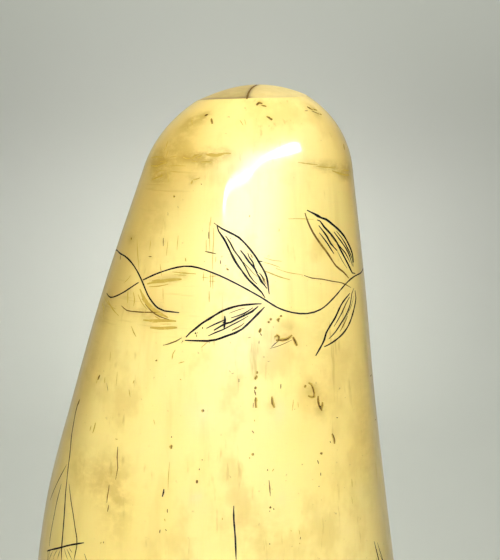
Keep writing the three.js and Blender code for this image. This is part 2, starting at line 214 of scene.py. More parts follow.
def tooth_shell(materials):
    """The closed body: outside from the tip down, sawn ring, then the hollow up to its end."""
    angles = np.arange(COLUMNS) * 360 / COLUMNS
    rings = [skin(angles, z) for z in reversed(outer_heights())]
    edge = skin(angles, EDGE_RING["at"], EDGE_RING["inset"]) * [1, 1, 0]
    rings.append(edge + [0, 0, EDGE_RING["height"]])
    foot = skin(angles, 0, ROOT_EASE) * [1, 1, 0]
    mouth = hollow_ring(angles, 0) * [1, 1, 0]
    rings.append(foot)
    for share in ROOT_SHARES:
        rings.append(foot * (1 - share) + mouth * share)
    middle = [HOLLOW["x"], HOLLOW["y"], 0]
    rings.append((mouth - middle) * MOUTH_LIP + middle)
    first_inside = len(rings)
    for row in range(HOLLOW_ROWS):
        turn = math.pi / 2 * row / HOLLOW_ROWS
        share = HOLLOW_SHARES["first"] + HOLLOW_SHARES["span"] * math.sin(turn)
        rings.append(hollow_ring(angles, share))
    points = np.concatenate(rings)
    tip = skin(0, LENGTH)
    deep = [HOLLOW["tip_x"], HOLLOW["y"], HOLLOW["depth"]]
    points = np.concatenate([points, [tip], [deep]])
    faces = []
    slots = []
    root_rows = range(len(outer_heights()) + 1, first_inside - 1)
    for r in range(len(rings) - 1):
        slot = SLOTS["ivory"]
        if r in root_rows:
            slot = SLOTS["root"]
        elif r >= first_inside - 1:
            slot = SLOTS["hollow"]
        this = r * COLUMNS
        below = this + COLUMNS
        for i in range(COLUMNS):
            j = (i + 1) % COLUMNS
            faces.append((this + i, below + i, below + j, this + j))
            slots.append(slot)
    last = (len(rings) - 1) * COLUMNS
    for i in range(COLUMNS):
        j = (i + 1) % COLUMNS
        faces.append((len(points) - 2, i, j))
        slots.append(SLOTS["ivory"])
        faces.append((len(points) - 1, last + j, last + i))
        slots.append(SLOTS["hollow"])
    obj = new_object("tooth_ivory", metres(points), faces, materials)
    obj.data.polygons.foreach_set("material_index", slots)
    return obj


# Cutting

def facet_height(x, y):
    """Height of the worn facet over a place in plan, in millimetres."""
    dx = x - FACET["x"]
    dy = y - FACET["y"]
    rise = FACET["rise"] * (1 - (dx / FACET["ease_x"]) ** 2)
    return FACET["z"] + rise * dy - dx * dx / (2 * FACET["bow_x"]) - dy * dy / (2 * FACET["bow_y"])


def facet_cutter(material):
    """Everything above the facet: a block whose underside is the facet."""
    steps = FACET_REACH["steps"]
    n = steps + 1
    line = FACET_REACH["side"] * np.linspace(-1, 1, n)
    x, y = np.meshgrid(FACET["x"] + line, FACET["y"] + line)
    under = np.stack([x, y, facet_height(x, y)], -1).reshape(-1, 3)
    over = under.copy()
    over[:, 2] = FACET["z"] + FACET_REACH["up"]
    faces = []
    for v in range(steps):
        for u in range(steps):
            k = v * n + u
            faces.append((k, k + n, k + n + 1, k + 1))
            faces.append((k + n * n, k + 1 + n * n, k + n + 1 + n * n, k + n + n * n))
    ring = list(range(steps)) + [v * n + steps for v in range(steps)]
    ring += [steps * n + steps - u for u in range(steps)] + [(steps - v) * n for v in range(steps)]
    for i, k in enumerate(ring):
        m = ring[(i + 1) % len(ring)]
        faces.append((k, m, m + n * n, k + n * n))
    return new_object("facet_cutter", metres(np.concatenate([under, over])), faces, [material])


def facet_point(dx, dy):
    """A point of the facet, from steps in plan from its middle, in millimetres."""
    x = FACET["x"] + dx
    y = FACET["y"] + dy
    return [x, y, facet_height(x, y)]


def resampled(points, step):
    """Points of a smooth curve through the given ones, about a step apart."""
    points = np.asarray(points, float)
    if len(points) == 2:
        count = max(2, int(np.linalg.norm(points[1] - points[0]) / step))
        return points[0] + (points[1] - points[0]) * np.linspace(0, 1, count + 1)[:, None]
    padded = np.concatenate([[2 * points[0] - points[1]], points, [2 * points[-1] - points[-2]]])
    result = []
    for i in range(1, len(padded) - 2):
        p0, p1, p2, p3 = padded[i - 1:i + 3]
        count = max(1, int(round(np.linalg.norm(p2 - p1) / step)))
        for t in np.arange(count) / count:
            result.append(0.5 * (2 * p1 + (p2 - p0) * t + (2 * p0 - 5 * p1 + 4 * p2 - p3) * t * t
                                 + (3 * p1 - p0 - 3 * p2 + p3) * t ** 3))
    result.append(points[-1])
    return np.array(result)


# A cut tapers over this length at its ends, and its size wavers along it.
TAPER = {"most": 1.6, "share": 0.35}
WAVER = {"spread": 0.12, "least": 0.75, "most": 1.25}


def v_cut(points, normals, half, depth, ends=(0.3, 0.3), lift=0.35):
    """Vertices and faces of a V-shaped cutter that lies along points of the surface."""
    count = len(points)
    length = np.concatenate([[0], np.cumsum(np.linalg.norm(np.diff(points, axis=0), axis=1))])
    taper = min(TAPER["most"], TAPER["share"] * length[-1]) + 1e-6
    start = ends[0] + (1 - ends[0]) * np.clip(length / taper, 0, 1)
    stop = ends[1] + (1 - ends[1]) * np.clip((length[-1] - length) / taper, 0, 1)
    uneven = 1 + WAVER["spread"] * RANDOM.standard_normal(count)
    size = np.minimum(start, stop) * np.clip(uneven, WAVER["least"], WAVER["most"])
    vertices = []
    for i in range(count):
        ahead = points[min(count - 1, i + 1)] - points[max(0, i - 1)]
        ahead /= np.linalg.norm(ahead)
        across = np.cross(ahead, normals[i])
        across /= np.linalg.norm(across)
        down = depth * size[i]
        wide = half * size[i] * (1 + lift / down)
        top = points[i] + normals[i] * lift
        vertices += [top - across * wide, top + across * wide, points[i] - normals[i] * down]
    faces = [(0, 2, 1)]
    for i in range(count - 1):
        a = 3 * i
        faces += [(a + k, a + (k + 1) % 3, a + 3 + (k + 1) % 3, a + 3 + k) for k in range(3)]
    e = 3 * (count - 1)
    faces.append((e, e + 1, e + 2))
    return vertices, faces


# Cutters closer than twice this go in different sets.
CLEAR = 0.15


def box_of(vertices):
    points = np.array(vertices)
    return points.min(0) - CLEAR, points.max(0) + CLEAR


def apart(one, other):
    return bool(np.any(one[0] > other[1]) or np.any(other[0] > one[1]))


def in_sets(cuts):
    """Sorts cutters into sets in which none comes near another."""
    sets = []
    for cut in cuts:
        box = box_of(cut["vertices"])
        for group in sets:
            if all(apart(box, other) for other in group["boxes"]):
                break
        else:
            group = {"boxes": [], "cuts": []}
            sets.append(group)
        group["boxes"].append(box)
        group["cuts"].append(cut)
    return [group["cuts"] for group in sets]


def cut_away(obj, cutter):
    modifier = obj.modifiers.new("cut", "BOOLEAN")
    modifier.object = cutter
    modifier.operation = "DIFFERENCE"
    modifier.solver = "MANIFOLD"
    modifier.material_mode = "TRANSFER"
    graph = bpy.context.evaluated_depsgraph_get()
    mesh = bpy.data.meshes.new_from_object(obj.evaluated_get(graph))
    obj.modifiers.clear()
    before = obj.data
    obj.data = mesh
    mesh.name = obj.name
    bpy.data.meshes.remove(before)
    used = cutter.data
    bpy.data.objects.remove(cutter)
    bpy.data.meshes.remove(used)


def cut_strokes(obj, cuts, materials):
    for cuts_set in in_sets(cuts):
        vertices = []
        faces = []
        slots = []
        for cut in cuts_set:
            first = len(vertices)
            vertices += [tuple(v) for v in metres(cut["vertices"])]
            faces += [tuple(first + k for k in face) for face in cut["faces"]]
            slots += [SLOTS[cut["ink"]]] * len(cut["faces"])
        cutter = new_object("strokes", vertices, faces, materials, smooth=False)
        cutter.data.polygons.foreach_set("material_index", slots)
        cut_away(obj, cutter)


# Engraving

# Line kinds: half width and depth of the V cut, in millimetres.
LINES = {
    "vine": {"half": 0.13, "depth": 0.18},
    "edge": {"half": 0.155, "depth": 0.18},
    "bold": {"half": 0.2, "depth": 0.24},
    "line": {"half": 0.15, "depth": 0.18},
    "vein": {"half": 0.115, "depth": 0.12},
    "fine": {"half": 0.095, "depth": 0.12},
    "hair": {"half": 0.06, "depth": 0.08},
    "broad": {"half": 0.26, "depth": 0.07},
    "crack": {"half": 0.16, "depth": 0.3},
}
# About the millimetres round the tooth that a degree spans, for spacing points along a stroke.
DEGREE = 0.42
POINT_STEP = {"long": 0.9, "short": 0.5, "short_below": 3}
# How far a hand's wobble moves a stroke, in degrees and millimetres.
HAND = (1.2, 0.5)


def stroke(path, kind="line", ink="ink", ends=(0.3, 0.3), wobble=0.05):
    """A stroke through points of [angle, height], cut with one of the line kinds."""
    rough = skin(*np.array(path, float).T)
    count = max(1.0, np.linalg.norm(np.diff(rough, axis=0), axis=1).sum())
    step = POINT_STEP["long" if count > POINT_STEP["short_below"] else "short"]
    fine = resampled(np.array(path, float) * [DEGREE, 1], step) / [DEGREE, 1]
    drift = np.cumsum(RANDOM.standard_normal((len(fine), 2)), axis=0) * wobble
    drift -= np.linspace(0, 1, len(fine))[:, None] * drift[-1]
    fine = fine + drift * HAND
    points = skin(fine[:, 0], fine[:, 1])
    normals = skin_normal(fine[:, 0], fine[:, 1])
    vertices, faces = v_cut(points, normals, ends=ends, **LINES[kind])
    return {"vertices": vertices, "faces": faces, "ink": ink}


# The vine winds right round about its level, as (angle, height over the level).
VINE_LEVEL = 0.79 * LENGTH
VINE = [
    (-64.5, -2.4), (-58.5, -2.8), (-51, -1.9), (-39.8, 0.8), (-32, 2.3), (-20, 3.5), (-8.5, 2.4),
    (0, 0.95), (11.2, -1.45), (18.5, -3.25), (24.5, -4.05), (30.5, -4.25), (36, -3.7),
    (42.5, -2.05), (49.2, -0.25), (54, 0.65), (64.5, 1.15), (80, 1.3), (100, -1.5), (115, -4.3),
    (127, -5.1), (140, -4.3), (160, -0.8), (182, 1.9), (205, -0.8), (224, -4.3), (236, -5.1),
    (247, -4.2), (262, -0.4), (275, 3.6), (285, 4.7), (298, 4.5), (305, 4.2), (310.5, 3.5),
    (315, 2.5), (320.2, 0.75), (325, -1.45), (330.8, -3.35), (339.8, -3.9),
]
CROSSING_GAP = (-41.4, -39.8)


def vine_height(angle):
    return VINE_LEVEL + float(along(VINE, 1, angle))


def vine_stroke(start, stop):
    count = max(3, int((stop - start) / 3))
    angles = np.linspace(start, stop, count + 1)
    return stroke([(a, vine_height(a)) for a in angles], "vine", ends=(0.6, 0.6), wobble=0.01)


def bow(start, end, pull, share):
    t = np.asarray(share, float)[..., None]
    start, end, pull = (np.array(p, float) for p in (start, end, pull))
    return (1 - t) ** 2 * start + 2 * t * (1 - t) * pull + t * t * end


# Tables of lines: kind and ink, then the lines themselves, each as angle, height, angle, height...
# The four front leaves and the brown side branch.
LEAF_LINES = [
    ("fine brown", [-12.5, 137.3, -11.2, 137]),
    ("edge ink", [-11.2, 137, -8.5, 136.4, -4.8, 135.8, -0.5, 135, 3.2, 133.8, 5.2, 133, 7.8, 131.8,
        9.5, 130.8, 11.8, 129.4, 13, 128.1, 13.5, 127, 14, 126], [-10.8, 136.8, -9.8, 136, -7, 134.8,
        -4.8, 133.6, -2, 131.9, 0, 130.8, 2.2, 129.8, 5.5, 128.3, 9, 127.1, 11, 126.3, 12.5, 125.4]),
    ("vein ink", [-6.5, 135.3, -4, 134.2, -2, 133, 1, 131.7, 3.5, 130.4, 5.8, 128.9, 7.5, 128.1,
        9, 127.6]),
    ("edge ink", [0.8, 133, 2.5, 132.3, 4.8, 131.2, 6.8, 130.4, 8.5, 129.5]),
    ("hair brown", [1, 131.7, 4.2, 130.5, 7, 129.4, 8.8, 128.8]),
    ("vein ink", [4, 132.6, 4.8, 131.9, 6.5, 131.1, 7.5, 130.2, 8.8, 129.4]),
    ("fine brown", [5.2, 132.4, 6.2, 131.8]),
    ("edge ink", [8.2, 129.5, 9.5, 128.8, 10.5, 128.1, 11.8, 127.5, 13, 126.9]),
    ("vein ink", [9.5, 129.4, 10.8, 128.8, 11.5, 128]),
    ("vein brown", [10.8, 128.9, 11.8, 128.3, 12.2, 127.6]),
    ("hair ink", [7, 130.4, 8, 129.6, 9.2, 128.9]),
    ("edge ink", [-16, 119.1, -14.8, 119.8, -12.8, 120.6, -10.8, 121.4, -8, 122.2, -4.5, 123.2,
        -1.2, 123.8, 2.2, 124.2, 6, 124.4, 9, 124.5, 11.2, 124.5], [-16.2, 118.6, -13.5, 118.6,
        -10.5, 118.6, -7.8, 118.6, -4.8, 118.8, -1.2, 119.4, 2, 119.9, 4.5, 120.5, 6.2, 121.2, 8, 122,
        10, 122.9, 12.5, 124]),
    ("vein ink", [-8.8, 120.6, -6.2, 121.2, -3.2, 121.8, -2, 122.1]),
    ("edge ink", [-6, 120.3, -3.5, 121, -1.8, 121.4, 0, 121.6, 2.5, 122.2, 5.5, 122.8, 7.8, 123.3,
        10, 124.1]),
    ("vein ink", [-7.8, 119.4, -5, 120, -2.2, 120.5, 0.2, 121.1, 2.5, 121.6, 4.2, 122, 6.5, 122.6],
        [0, 122.3, 2.2, 122.6, 4.8, 123, 8, 123.9]),
    ("hair brown", [-1, 123, 2, 123.5, 5.2, 123.9]),
    ("vein brown", [0.8, 120.3, 3, 120.8, 4.2, 121.1, 5.2, 121.5]),
    ("bold ink", [-2.5, 122.6, -2.2, 122, -2.2, 121.4, -2.2, 120.6]),
    ("vein ink", [-3, 121.6, -1.8, 121.4]),
    ("fine brown", [-10.5, 120.8, -10.2, 120.5]),
    ("edge ink", [-12.8, 119.9, -12.5, 119.7]),
    ("fine brown", [-12, 119.9, -11.8, 119.8], [-12.2, 119.6, -12, 119.2]),
    ("bold ink", [29.8, 139.2, 33.5, 138.6, 37.2, 137.9, 40, 137.6, 43.5, 136.8, 47.2, 135.9, 51, 134.7,
        54.2, 133.1, 56.2, 131.7, 56.8, 130.1]),
    ("edge brown", [28.8, 138.8, 30.2, 137.3, 32.8, 135.5, 36.2, 133.8, 40.2, 132, 44.5, 129.9,
        48.8, 128.8, 52.2, 127.6]),
    ("edge ink", [35, 137.6, 36.5, 137.4, 38.8, 136.4, 42.5, 135.2, 45.5, 134, 47.8, 132.6, 50.5, 131.1,
        53.5, 129.3, 55, 128.4, 57.5, 128.2], [35.8, 136.7, 38, 135.8, 40.2, 134.8, 42.2, 133.6,
        45.8, 132.4]),
    ("vein ink", [36, 135.5, 39, 134.3, 42, 132.8, 43.8, 131.9]),
    ("hair ink", [37, 135, 40, 133.7, 43.2, 132.3]),
    ("vein ink", [39.8, 136, 43.8, 134.8, 47.2, 133.2, 51, 131.9, 54, 130.2], [44.5, 135.5, 48.2, 134.1,
        51.8, 132.6, 54.2, 131.1, 55.5, 129.5], [46.2, 135.6, 50.2, 134.1, 53.2, 132.5, 55.8, 130.8,
        56.2, 129.4]),
    ("hair ink", [45.8, 132.4, 48.5, 130.7, 51.5, 129.3]),
    ("hair brown", [41.5, 135.4, 44.2, 134.2, 48.5, 132.8]),
    ("edge ink", [52.2, 125.1, 47.5, 123.9, 45, 122.8, 42.5, 121.4, 39.8, 120.2, 37.8, 119.1, 36.8, 118,
        34.8, 116.7, 33, 115.6], [56, 125.4, 56.2, 124.1, 54, 122.2, 51, 120.3, 47.8, 119, 43.8, 118,
        40.5, 117.4, 36.8, 116.9]),
    ("vein ink", [55.2, 125.8, 53.5, 125, 51.8, 123.2, 48.8, 121.6, 45.5, 120.3, 42.2, 119, 39, 118.1],
        [51.8, 124.5, 49, 123.4, 46.5, 122.1, 44, 121, 41.8, 120]),
    ("hair ink", [54.5, 124.5, 53, 123.3, 50, 121.8, 46.8, 120.5]),
    ("vein brown", [49.8, 121.4, 47, 120, 44.8, 119]),
    ("fine brown", [28.2, 128.8, 31.8, 128.3, 36.5, 128, 41.8, 127.5, 47.5, 127, 53.2, 126]),
]
# The plainer leaves round the back, from their place on the vine: tip, and the two edges' roots
# and bows.
BACK_NODES = [102, 150, 194, 242]
LEAF_UP = {"tip": (-25, 11.6), "roots": [(0, 0.8), (0, 0.8)], "bows": [(-16, 4.6), (-1, 9.2)]}
LEAF_DOWN = {
    "tip": (-25, -10.6), "roots": [(0, -0.8), (0, -0.8)], "bows": [(-20, -4.2), (0.5, -6.4)],
}
# Their veins: share across from the first edge, where it starts and stops from the tip, kind.
PLAIN_VEINS = [
    (0.2, 0.2, 0.86, "vein"), (0.34, 0.3, 0.92, "vein"), (0.48, 0.22, 0.95, "edge"),
    (0.62, 0.36, 0.9, "vein"), (0.76, 0.3, 0.95, "edge"), (0.88, 0.5, 0.94, "hair"),
]


def plain_leaf(leaf, angle, height):
    def moved(point):
        return (point[0] + angle, point[1] + height)

    tip = moved(leaf["tip"])
    sides = [(moved(root), moved(pull)) for root, pull in zip(leaf["roots"], leaf["bows"])]
    result = []
    for root, pull in sides:
        result.append(stroke(bow(tip, root, pull, np.linspace(0, 1, 7)), "edge", wobble=0.03))
    for share, start, stop, kind in PLAIN_VEINS:
        t = np.linspace(start, stop, 5)
        low = bow(tip, sides[0][0], sides[0][1], t)
        high = bow(tip, sides[1][0], sides[1][1], t)
        result.append(stroke(low + (high - low) * share, kind, ends=(0.2, 0.5), wobble=0.04))
    return result


def lines_of(rows):
    """Each line of a table, as its label and its points in pairs."""
    return [(label, np.reshape(path, (-1, 2))) for label, *paths in rows for path in paths]


def drawn(rows, wobble=0.012):
    return [stroke(path, *label.split(), ends=(0.45, 0.45), wobble=wobble)
            for label, path in lines_of(rows)]


def haloes(rows):
    """Shallow ochre strokes under the darker spots, which the dirt has spread into."""
    return [stroke(path, "broad", "faint", ends=(0.7, 0.7), wobble=0.05)
            for label, path in lines_of(rows) if label in ("bold brown", "line brown")]


def vine():
    cuts = [vine_stroke(VINE[0][0], CROSSING_GAP[0]), vine_stroke(CROSSING_GAP[1], VINE[-1][0])]
    cuts += drawn(LEAF_LINES)
    for angle in BACK_NODES:
        cuts += plain_leaf(LEAF_UP, angle, vine_height(angle))
        cuts += plain_leaf(LEAF_DOWN, angle, vine_height(angle))
    return cuts


# Ships, drawn flat in millimetres and laid on the tooth: line kind, then x, y, x, y... of each line.

# The skin is a little less curved than a circle of the half width.
GIRTH = 0.92


def lay(points, ship):
    heel = math.radians(ship["heel"])
    result = []
    for x, y in points:
        z = ship["height"] + x * math.sin(heel) + y * math.cos(heel)
        across = x * math.cos(heel) - y * math.sin(heel)
        girth = float(half_width(z)) * GIRTH
        result.append((ship["angle"] + math.degrees(across / girth), z))
    return result


FULL_SHIP = {
    "angle": -38, "height": 0.311 * LENGTH, "heel": 12,
    "strokes": [
        ("line", [0, 1.5, 0.2, 15, 0.4, 27], [-11, 1.6, -11, 12, -11, 24], [10.5, 2.2, 10.6, 12,
            10.7, 23], [-17, 1.8, -8, 0.6, 2, 0.6, 12, 2, 18, 4.2], [-17, 1.8, -16, -3.4], [-16, -3.4,
            -9, -5.6, 2, -6, 11, -4.6, 15.5, -1, 18, 4.2], [18, 4.2, 25, 8.6]),
        ("fine", [-5, 30.6, -4.6, 24, -8.2, 16.6], [6, 31.4, 8.4, 24, 8, 16.8]),
        ("line", [-8.2, 16.6, 0, 17.6, 8, 16.8]),
        ("fine", [-17, 0.2, -7, -1.2, 3, -1.3, 12, 0.2, 16.6, 2], [-15.5, 17.6, -11, 18, -6.8, 17.4],
            [6.6, 17, 10.6, 17.6, 15, 17], [18, 5, 11, 16, 10.8, 22], [24, 8.4, 12, 21.4], [15, 17,
            15.6, 11, 14.6, 5.4], [-15.5, 17.4, -14.6, 11, -15.6, 5]),
        ("line", [-15.6, 5, -11, 5.6, -7, 5], [6.4, 5, 10.6, 5.8, 14.6, 5.4]),
    ],
}
BRIG = {
    "angle": 13, "height": 0.249 * LENGTH, "heel": 4,
    "strokes": [
        ("line", [0, 1, -0.1, 16, -0.2, 32, -0.3, 42], [13, 1.4, 13, 14, 12.9, 33], [-10, 1.4, -2, 0.4,
            10, 0.5, 18, 2.4, 22, 4.6], [-10, 1.4, -9.2, -3.4], [-9.2, -3.4, -2, -5, 10, -4.8,
            17.6, -1.6, 22, 4.6], [22, 4.6, 29, 8.4], [-6, 33, 0, 33.4, 6, 33]),
        ("fine", [-6, 33, -5, 26, -7, 19], [6, 33, 6.6, 26, 5.4, 19.2]),
        ("line", [-7, 19, -1, 20, 5.4, 19.2], [8, 25, 13, 25.3, 18, 25]),
        ("fine", [8, 25, 8.6, 19, 7.4, 13], [18, 25, 18.8, 19, 18.6, 13]),
        ("line", [7.4, 13, 13, 13.8, 18.6, 13]),
        ("fine", [-10, 0, -1, -1.2, 10, -1.1, 17, 0.8, 20.6, 3], [27.6, 7.8, 13.2, 31.6], [22, 5.4,
            13.4, 27], [-0.3, 38, -3.2, 35.6, -6, 33], [-0.2, 38, 2.8, 35.6, 6, 33], [-9.4, 1.8,
            -0.4, 30]),
    ],
}
CUTTER_BOAT = {
    "angle": 69, "height": 0.324 * LENGTH, "heel": 13,
    "strokes": [
        ("line", [0, 0.8, 0, 14, -0.1, 30], [-7, 1.6, 0, 0.6, 8, 2.2], [-7, 1.6, -5.6, -2.2, 2, -3,
            8, 2.2]),
        ("fine", [-0.6, 27, -7.5, 14, -8.8, 4], [-8.8, 4, -0.6, 3], [0.5, 27, 9.5, 3.4]),
    ],
}
# Waves under the ships, in steps of angle and height from each, and one wave's zigzag.
WAVES = [
    (FULL_SHIP, [(-32, -9), (-16, -12), (2, -11.5), (26, -16.5)]),
    (BRIG, [(-7, -9), (11, -9), (31, -7)]),
    (CUTTER_BOAT, [(-7, -6), (11, -5)]),
]
WAVE = [(-7.2, 0), (-3.6, 0.8), (0, 0), (3.6, 0.8), (7.2, 0)]


def ships():
    cuts = []
    for ship in (FULL_SHIP, BRIG, CUTTER_BOAT):
        for kind, points in lines_of(ship["strokes"]):
            cuts.append(stroke(lay(points, ship), kind, wobble=0.03))
    for ship, steps in WAVES:
        for da, dz in steps:
            path = [(ship["angle"] + da + a, ship["height"] + dz + z) for a, z in WAVE]
            cuts.append(stroke(path, "fine"))
    return cuts


# The tall mast, its ropes and yard, and the lines by the picture's lower edge.
RIGGING = [
    ("line ink", [-62, 105.6, -62.2, 104.7, -62, 103.2, -61, 101.6, -60, 99.9, -58.2, 98, -56.8, 96.3,
        -55.8, 94.5, -54.5, 92.4, -53.5, 90.5, -52.2, 88.2, -51.2, 86, -50.5, 83.6, -50, 81.2,
        -49.2, 79.2]),
    ("bold brown", [-61.2, 106, -61.8, 104.8]),
    ("fine ink", [-57.5, 94.8, -59, 93.4, -61, 91.7, -63, 89.9, -65, 88, -66, 86.8], [-58, 91.2,
        -58.2, 89.6, -58.5, 87.5, -58.5, 85.4, -58.8, 83.1, -58.8, 81.3, -58.5, 79.8], [-52.5, 92.1,
        -50.5, 90.6, -48.5, 89, -46.5, 87.4, -44.8, 85.6, -43.2, 83.9, -42.8, 82.7, -43, 81.5,
        -43.2, 80.3]),
    ("line ink", [-60, 78.6, -56, 79.7, -51, 81, -45.8, 82.4, -40, 83.7]),
    ("hair ink", [-55.2, 79.6, -56.5, 78.4, -57, 77.7], [-52.5, 80.3, -53.8, 79.2, -54.2, 78.3],
        [-50.5, 80.8, -51.2, 79.7, -51.5, 78.9], [-48.5, 81.3, -47.5, 80.6, -46, 79.8], [-47.2, 81.5,
        -45.8, 80.9, -44.2, 80.1], [-46, 81.8, -44.5, 81.3]),
    ("line ink", [6, 92.1, 6.2, 89.8, 6.8, 86.9, 7.2, 83.3]),
    ("fine ink", [58, 80.6, 59.2, 78.8, 60.8, 76.8]),
]


# Ochre hatching and ruled lines about the vine.
HATCHING = [
    ("broad faint", [-36.8, 127.2, -34.5, 127.5, -31, 127.8, -26.8, 128.1, -21.8, 128.3]),
    ("fine faint", [-35.5, 126.8, -31.2, 127, -27, 127.4], [-32.2, 127.5, -29, 127.7, -26.2, 128],
        [-34.8, 127.8, -31.2, 128.1], [-26.5, 129.4, -21.2, 129.3, -16.2, 129.2]),
    ("hair faint", [-25.5, 129, -20.2, 128.9], [-50.2, 134.1, -45.8, 131.2, -42.5, 129]),
    ("fine brown", [-34.5, 134.7, -33.5, 133.4]),
    ("hair faint", [-41, 134.2, -40, 132.5], [-31.8, 134.2, -30.8, 131.9], [-27.5, 135.2, -26.5, 132.9],
        [-32.8, 130.5, -30.8, 128.7], [-29, 126.8, -27.5, 124.4]),
    ("fine faint", [-22, 131.7, -21.5, 131.1], [-43, 125.7, -41.2, 124.5, -40.8, 123.4], [-46.5, 125.9,
        -44.5, 123.8]),
    ("fine brown", [-61.8, 131.2, -60.2, 130.4], [-48, 123.2, -43.8, 122.6, -38.8, 122.6, -33.2, 122.7,
        -28, 122.9]),
    ("broad faint", [-39.8, 126.3, -36, 124.7, -32.2, 123.5, -28.2, 122.7, -24.2, 122.1], [-37.5, 124.8,
        -33.8, 123.8, -30.2, 122.9, -26.5, 122.3]),
    ("fine brown", [-35.5, 124, -31.5, 122.9, -27.8, 122.2, -23.8, 121.8]),
    ("fine faint", [-40, 125.4, -37, 124.1, -34, 123.2], [-29.8, 122.2, -27, 121.7, -24, 121.6]),
    ("broad faint", [-34.5, 121.4, -29.8, 121.4, -25.2, 121.6, -20.8, 121.6], [-30.8, 120.3,
        -26.8, 120.3, -22.2, 120.5, -20, 120.6]),
    ("hair faint", [-27, 121, -22.5, 121.1]),
    ("fine faint", [-39.5, 120.2, -37.5, 119.2, -36, 118.6]),
    ("fine brown", [-24.2, 117.6, -22.2, 117.9, -19.5, 118.4, -17.5, 119], [-17.2, 118.5,
        -16.8, 118.4]),
    ("fine faint", [-19.8, 115.5, -19.8, 116.4, -19.2, 117], [-17.2, 114.9, -15.2, 115.2]),
    ("hair faint", [-9.8, 117.5, -7.5, 118.5]),
    ("fine faint", [-67.5, 122.6, -61.8, 121.8, -59.5, 120.4], [-60.2, 123.5, -53.2, 122.3,
        -47.8, 121.5]),
    ("hair faint", [-67.8, 123.8, -59.2, 123, -51, 122.4], [-50.5, 126.9, -48.5, 127.6, -47.2, 128.3],
        [-14.5, 137.4, -13.5, 135.3, -12.2, 133]),
    ("fine brown", [-14, 135.9, -13.5, 134.8]),
    ("hair faint", [-12.2, 136.5, -11.5, 135.3, -11, 133.6, -10.5, 132, -9.8, 129.9], [-14.2, 138.3,
        -13.8, 136.8]),
    ("fine brown", [-14.2, 132.8, -11.5, 132.6, -9.2, 132.4]),
    ("hair faint", [-14.5, 134.6, -13.5, 132.6], [-9.2, 132, -9, 131.1], [-13.2, 129.6, -12.8, 128.1],
        [-10.5, 129.5, -9.5, 127.1], [-9.5, 129.5, -8.5, 126.9], [-13.5, 128.7, -10.8, 128.6],
        [-10.8, 128.9, -8, 128.9], [-10.5, 128.1, -7.8, 128.1], [-9.8, 126.5, -9.2, 124.8],
        [20.8, 137.9, 26.2, 137.9, 33.2, 137.7]),
    ("fine ink", [9, 131.3, 10.5, 131.2]),
    ("hair faint", [11, 131.8, 14.5, 131.4, 18.5, 131.2], [11, 131.1, 14.5, 130.7, 18, 130.2]),
    ("fine faint", [10.5, 129.9, 14.8, 129.2, 18, 128.7, 22.2, 128.2]),
    ("hair faint", [16.2, 130.1, 21.2, 129.4, 27.8, 128.9]),
]
